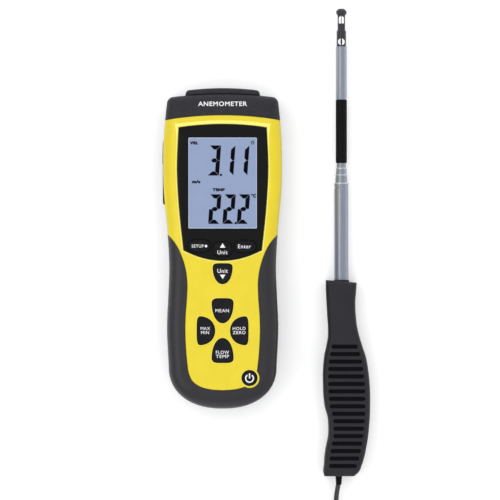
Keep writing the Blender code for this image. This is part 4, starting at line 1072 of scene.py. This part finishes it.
def add_display():
    seat = FLAT - LENS_THICK
    middle = (0.0, sum(GLASS_Y) / 2)
    wide = 2 * (GLASS_HALF - 0.3 * MM)
    tall = GLASS_Y[1] - GLASS_Y[0] - 0.5 * MM
    rim = ((seat, 0), (FLAT - 0.3 * MM, 0), (FLAT - 0.08 * MM, -0.12 * MM), (FLAT, -0.35 * MM))
    lens = stack("display_window", lens_outline, rim)

    def opening(grow):
        return rounded_box(wide + 2 * grow, tall + 2 * grow, 0.6 * MM)

    bevel = ((INSIDE, 0), (FLAT - 0.25 * MM, 0), (FLAT + 0.25 * MM, 0.5 * MM))
    cut(lens, stack("opening", opening, bevel, middle))
    bevel = ((INSIDE, GAP), (FLAT - 0.2 * MM, GAP), (FLAT + 0.2 * MM, GAP + 0.4 * MM))
    for _, outline, at, proud in key_plans():
        if proud == PANEL_KEY_PROUD:
            cut(lens, stack("hole", outline, bevel, at))
    finish(lens, "lens_black", "meter", "display_lens")
    face = FLAT - 0.55 * MM
    pane = stack("display_face", opening, ((seat, -0.05 * MM), (face, -0.05 * MM)), middle)
    finish(pane, "lcd_glass", "meter")
    edge = around(face, 0, (-0.1, -0.05), (0.2, -0.05), (0.2, -0.45), (-0.1, -0.5))
    finish(stack("display_edge", opening, edge, middle, closed=True), "lcd_edge", "meter")
    ink = []
    for text, x, row in (("3", -9.75, UPPER_ROW), ("1", -0.35, UPPER_ROW), ("1", 8.8, UPPER_ROW),
                         ("2", -9.5, LOWER_ROW), ("2", -0.15, LOWER_ROW), ("2", 9.2, LOWER_ROW)):
        ink += digit(text, x * MM, *row)
    ink += [placed(ring_points(0.8 * MM, 16), at) for at in mm((-1.1, 48), (8.5, 16.5))]
    figures = merged("display_figures", [plate(bar, face, proud=INK_PROUD) for bar in ink])
    finish(figures, "lcd_ink", "meter", smooth=20)
    for name, text, spans in (
        ("word_vel", "VEL", (-21.6, -15.9, 67.9, 69.9)),
        ("word_speed", "m/s", (-20, -14.5, 42.5, 44.7)),
        ("word_temp_row", "TEMP", (-6.6, 1.5, 37.3, 39.3)),
        ("word_degrees", "°C", (18.7, 22, 33.1, 35.7)),
    ):
        word(name, text, spans, face, "lcd_ink", "meter", bold=0.075)
    at = mm(19.6, 69.1)
    low, high = face - MARK_SUNK, face + INK_PROUD
    rim = ((low, 1.15 * MM), (high, 1.15 * MM), (high, 0.7 * MM), (low, 0.7 * MM))
    ring = stack("ring", lambda radius: ring_points(radius, 24), rim, at, closed=True)
    hand = around(*at, (-0.15, 0), (0.15, 0), (0.15, 0.9), (-0.15, 0.9))
    hand = plate(hand, face, proud=INK_PROUD)
    finish(merged("auto_off_sign", [ring, hand]), "lcd_ink", "meter", smooth=20)


# ---- probe ----


def handle_outline(inset):
    """The handle's outline, drawn in by inset on every side."""
    low, high = HANDLE[0][0] + inset, HANDLE[-1][0] - inset
    ys = np.linspace(low, high, 100)
    right = [(PROBE_X + blended(HANDLE, y, 2) - inset, y) for y in ys]
    left = [(PROBE_X - blended(HANDLE, y, 1) + inset, y) for y in ys[::-1]]

    def corner(start, turn_in, rise):
        x1, y1 = start
        x2, y2 = x1 + turn_in, y1 + rise
        turns = [pi / 2 * k / 4 for k in range(1, 5)]
        return [(x1 + (x2 - x1) * (1 - cos(t)), y1 + (y2 - y1) * sin(t)) for t in turns]

    wide, edge = END_TURN
    line = right + corner(right[-1], -wide, edge) + corner(left[0], wide, edge)[::-1]
    line += left + corner(left[-1], wide, -edge) + corner(right[0], -wide, -edge)[::-1]
    slope = [0.085 * max(0.0, (y + 26 * MM) / (4.3 * MM)) * (PROBE_X - x) for x, y in line]
    return [(x, y + rise) for (x, y), rise in zip(line, slope)]


def handle_form(name, inset):
    turn_in = max(HANDLE_ROUND - inset, 0.3 * MM)
    low = [(inset + h, inset + d) for h, d in rounded_edge(turn_in, turn_in, 7)]
    return stack(name, handle_outline, low + [(HANDLE_DEPTH - z, d) for z, d in reversed(low)])


def slot_outline(y, grow=0.0):
    """One grip slot across the handle, with round ends."""
    radius = SLOT_WIDTH / 2 + grow
    left = PROBE_X - blended(HANDLE, y, 1) + SLOT_INSET + SLOT_WIDTH / 2
    right = PROBE_X + blended(HANDLE, y, 2) - SLOT_INSET - SLOT_WIDTH / 2
    ends = ((right, -pi / 2), (left, pi / 2))
    return [polar(radius, start + pi * k / 12, (x, y)) for x, start in ends for k in range(13)]


def handle_half(name, low, high):
    half = cut(handle_form(name, 0), handle_form("hollow", HANDLE_WALL))
    cut(half, rod("tube_hole", OUTER_RADIUS + GAP, ALONG[0], 0, PROBE_AXIS))
    cable_hole = (CABLE_X, PROBE_Z)
    cut(half, rod("cable_hole", GROMMET_RADIUS + GAP, UNDER_HANDLE, GROMMET_Y[1], cable_hole))
    return cut(half, box("other_half", *ROUND_HANDLE, (low, high)))


def add_handle():
    front = handle_half("handle_upper", BELOW, PROBE_Z + GAP / 2)
    floor = HANDLE_DEPTH - SLOT_DEPTH
    shade = floor - 0.1 * MM
    levels = ((floor, 0.0), (HANDLE_DEPTH - 0.2 * MM, 0.0), (HANDLE_DEPTH + 0.3 * MM, 0.4 * MM))
    shades = []
    for k in range(SLOT_COUNT):
        y = SLOT_FIRST - k * SLOT_PITCH
        cut(front, stack("slot", lambda grow: slot_outline(y, grow), levels))
        # A thin dark sheet on each slot floor: painted shade.
        shades.append(prism("shade", slot_outline(y), shade, shade + 0.25 * MM))
    finish(front, "handle_rubber", "probe", "handle_front")
    finish(merged("slot_shades", shades), "slot_shade", "probe")
    rear = handle_half("handle_lower", PROBE_Z - GAP / 2, OVER_HANDLE)
    for at in HANDLE_SCREWS:
        well = rod("screw_well", HANDLE_SCREW_RADIUS + GAP, BELOW, 3 * MM, at, along="Z", steps=24)
        cut(rear, well)
    finish(rear, "handle_rubber", "probe", "handle_rear")
    top = HANDLE[-1][0]
    bore = OUTER_RADIUS + 0.1 * MM
    profile = [(bore, top + 1.3 * MM)]
    profile += around(OUTER_RADIUS + 0.55 * MM, top, (-0.3, 1.3), (0, 1), (0.2, -1.5), (0.2, -2))
    profile += [(bore, top - 2 * MM)]
    finish(turned("handle_collar", profile, PROBE_PLACE), "handle_rubber", "probe")


def tube_profile(radius, bore, low, high, groove):
    """A drawn tube: a rolled mouth and, if asked, one crimped groove below it."""
    wall = radius - bore
    roll = min(0.5 * wall + 0.05 * MM, 0.3 * MM)
    edge = 0.35 * wall
    profile = [(bore, high - roll), (bore + edge, high)]
    profile += [(radius - edge, high), (radius, high - roll)]
    if groove:
        down, depth = groove
        at = high - down
        for share, rise in ((0, 0.8), (0.8, 0.45), (1, 0), (0.8, -0.45), (0, -0.8)):
            profile.append((radius - depth * share, at + rise * MM))
    return profile + [(radius, low), (bore, low)]


MOUTH_RIM = (  # millimetres outwards from the tube's side and along from its mouth
    (-0.12, 0.02), (0.05, -0.2), (0.05, -0.85), (-0.12, -0.95),
)
SLEEVE_EDGE = 0.45 * MM


def add_tubes():
    for name, node, body, radius, bore, (low, high), groove, material in (
        ("tube_outer", "outer_tube", "probe", OUTER_RADIUS, OUTER_BORE, OUTER_Y,
         mm(3.2, 0.3), "chrome"),
        ("tube_third", "tube_c", "tube_c", TUBE_C_RADIUS, TUBE_C_RADIUS - TUBE_WALL, TUBE_C_Y,
         mm(1.5, 0.14), "chrome"),
        ("tube_second", "tube_b", "tube_b", TUBE_B_RADIUS, TUBE_B_RADIUS - TUBE_WALL, TUBE_B_Y,
         mm(1.5, 0.14), "chrome"),
        ("tube_first", "tube_a", "tube_a", TUBE_A_RADIUS, TUBE_A_RADIUS - TUBE_WALL, TUBE_A_Y,
         None, "chrome"),
        ("guard_tube", "guard_sleeve", "guard_sleeve", GUARD_RADIUS, GUARD_BORE, GUARD_Y,
         mm(1.3, 0.12), "guard_metal"),
    ):
        profile = tube_profile(radius, bore, low, high, groove)
        finish(turned(name, profile, PROBE_PLACE, steps=96), material, body, node)
        if groove and material == "chrome":
            rim = turned(name + "_mouth", around(radius, high, *MOUTH_RIM), PROBE_PLACE, steps=96)
            # The mouth ring's lighter steel is painted highlight.
            finish(rim, "mouth_rim_painted_highlight", body)
    low, high = SLEEVE_Y
    edge = SLEEVE_EDGE
    rows = [(edge, 0), (0.3 * edge, 0), (0, 0), (0, 1)]
    ats = (0, 0.5 * edge, 1.2 * edge, 1.8 * edge)
    levels = [(low + at, *row) for at, row in zip(ats, rows)]
    levels += [(high - at, *row) for at, row in zip(ats[::-1], rows[::-1])]
    rings = []
    for at, drop, rib in levels + [(high, None, 0), (low, None, 0)]:
        ring = []
        for k in range(192):
            turn = 2 * pi * k / 192
            radius = TUBE_A_RADIUS + TUBE_GAP
            if drop is not None:
                radius = SLEEVE_RADIUS - drop - rib * 0.07 * MM * (1 + cos(turn * 32))
            x, z = polar(radius, turn, PROBE_AXIS)
            ring.append((x, at, z))
        rings.append(ring)
    sleeve = loft("sleeve", rings, closed=True)
    finish(sleeve, "black_plastic", "tube_a", "sleeve_grip", smooth=60)


def add_head():
    body_end = HEAD_BODY_Y[1]
    profile = [(0, HEAD_END)]
    chamfer = ((-1.95, 0), (-1.5, -0.15), (-0.15, -1.5), (0, -1.95))
    profile += around(HEAD_CAP_RADIUS, HEAD_END, *chamfer)
    profile += around(HEAD_CAP_RADIUS, HEAD_NECK_END, (0, 1.6), (-0.12, 1.2))
    profile += around(HEAD_NECK_RADIUS, HEAD_NECK_END, (0.1, 0.1), (0, -0.3))
    profile += around(HEAD_NECK_RADIUS, body_end, (0, 0.9), (0.12, 0.5))
    profile += around(HEAD_BODY_RADIUS, body_end, (-0.12, 0.08), (0, -0.3))
    profile += [(HEAD_BODY_RADIUS, HEAD_BODY_Y[0]), (HEAD_STEM_RADIUS, HEAD_BODY_Y[0])]
    profile += [(HEAD_STEM_RADIUS, HEAD_STEM_END), (0, HEAD_STEM_END)]
    head = turned("probe_head", profile, PROBE_PLACE, steps=72)
    half = WINDOW_WIDTH / 2
    low, high = WINDOW_Y
    crown = half * 0.9
    turns = [pi * k / 20 for k in range(21)]
    arch = [(half * cos(t), high - crown + crown * sin(t)) for t in turns]
    foot = [(-half + d, low + h) for d, h in rounded_edge(0.5 * MM, 0.5 * MM, 4)]
    outline = arch + foot + [(-x, y) for x, y in reversed(foot)]
    cut(head, prism("window", placed(outline, (PROBE_X, 0)), 0, INSIDE))
    cut(head, rod("eye", EYE_RADIUS, 0, INSIDE, (PROBE_X, EYE_Y), along="Z"))
    finish(head, "head_plastic", "tube_a", "sensor_head")
    stem, bead = mm(0.3, 0.4)
    ends = (low - 2 * MM, high + 1.8 * MM)
    profile = [(0, ends[1]), (stem, ends[1]), (stem, low + 3.1 * MM), (bead, low + 2.8 * MM),
               (bead, low + 1.9 * MM), (stem, low + 1.6 * MM), (stem, ends[0]), (0, ends[0])]
    wire = turned("air_bead", profile, PROBE_PLACE, steps=24)
    finish(wire, "sensor_glass", "tube_a", "air_sensor")
    profile = around(0, EYE_Y, (0, 3.6), (0.4, 3.6), (0.4, 1.2), (0.55, 0.9), (0.55, -0.9),
                     (0.4, -1.2), (0.4, -3.6), (0, -3.6))
    wire = turned("temperature_bead", profile, PROBE_PLACE, steps=24)
    finish(wire, "black_plastic", "tube_a", "temp_sensor")


def add_grommet():
    """The strain relief where the cable leaves the handle: ribbed and tapered."""
    end, start = GROMMET_Y
    bore = CABLE_RADIUS + 0.02 * MM
    profile = [(bore, start), (GROMMET_RADIUS, start)]
    profile += around(GROMMET_RADIUS, end, (0, 0.6), (-0.3, 0.3))
    wide = 2.25 * MM
    at = end
    for _ in range(4):
        profile += around(wide, at, (0, 0), (0, -0.8), (-0.25, -0.95), (-0.25, -1.3))
        at -= 1.45 * MM
        wide -= 0.1 * MM
    profile += [(bore, at)]
    relief = turned("strain_relief", profile, (CABLE_X, 0, PROBE_Z))
    finish(relief, "black_plastic", "probe", "cable_grommet")


# ---- kept CAD nodes ----


def dress_nodes():
    """Gives every CAD node that stays its own procedural finish."""
    slots = {}
    for row in frame["record"].get("materials", []):
        for node in row.get("nodes", []):
            slots[node] = row["slot"]
    for name, obj in frame["nodes"].items():
        material = LOOKS.get(slots.get(name, ""), LOOKS["black_plastic"])
        if not obj.data.materials:
            obj.data.materials.append(None)
        for spot in obj.material_slots:
            spot.material = material


def main():
    add_camera()
    add_cord()
    add_stage()
    dress_nodes()
    add_front()
    add_back()
    add_skins()
    add_socket_block()
    add_side_cover()
    add_display()
    add_keys()
    add_handle()
    add_tubes()
    add_head()
    add_grommet()


main()
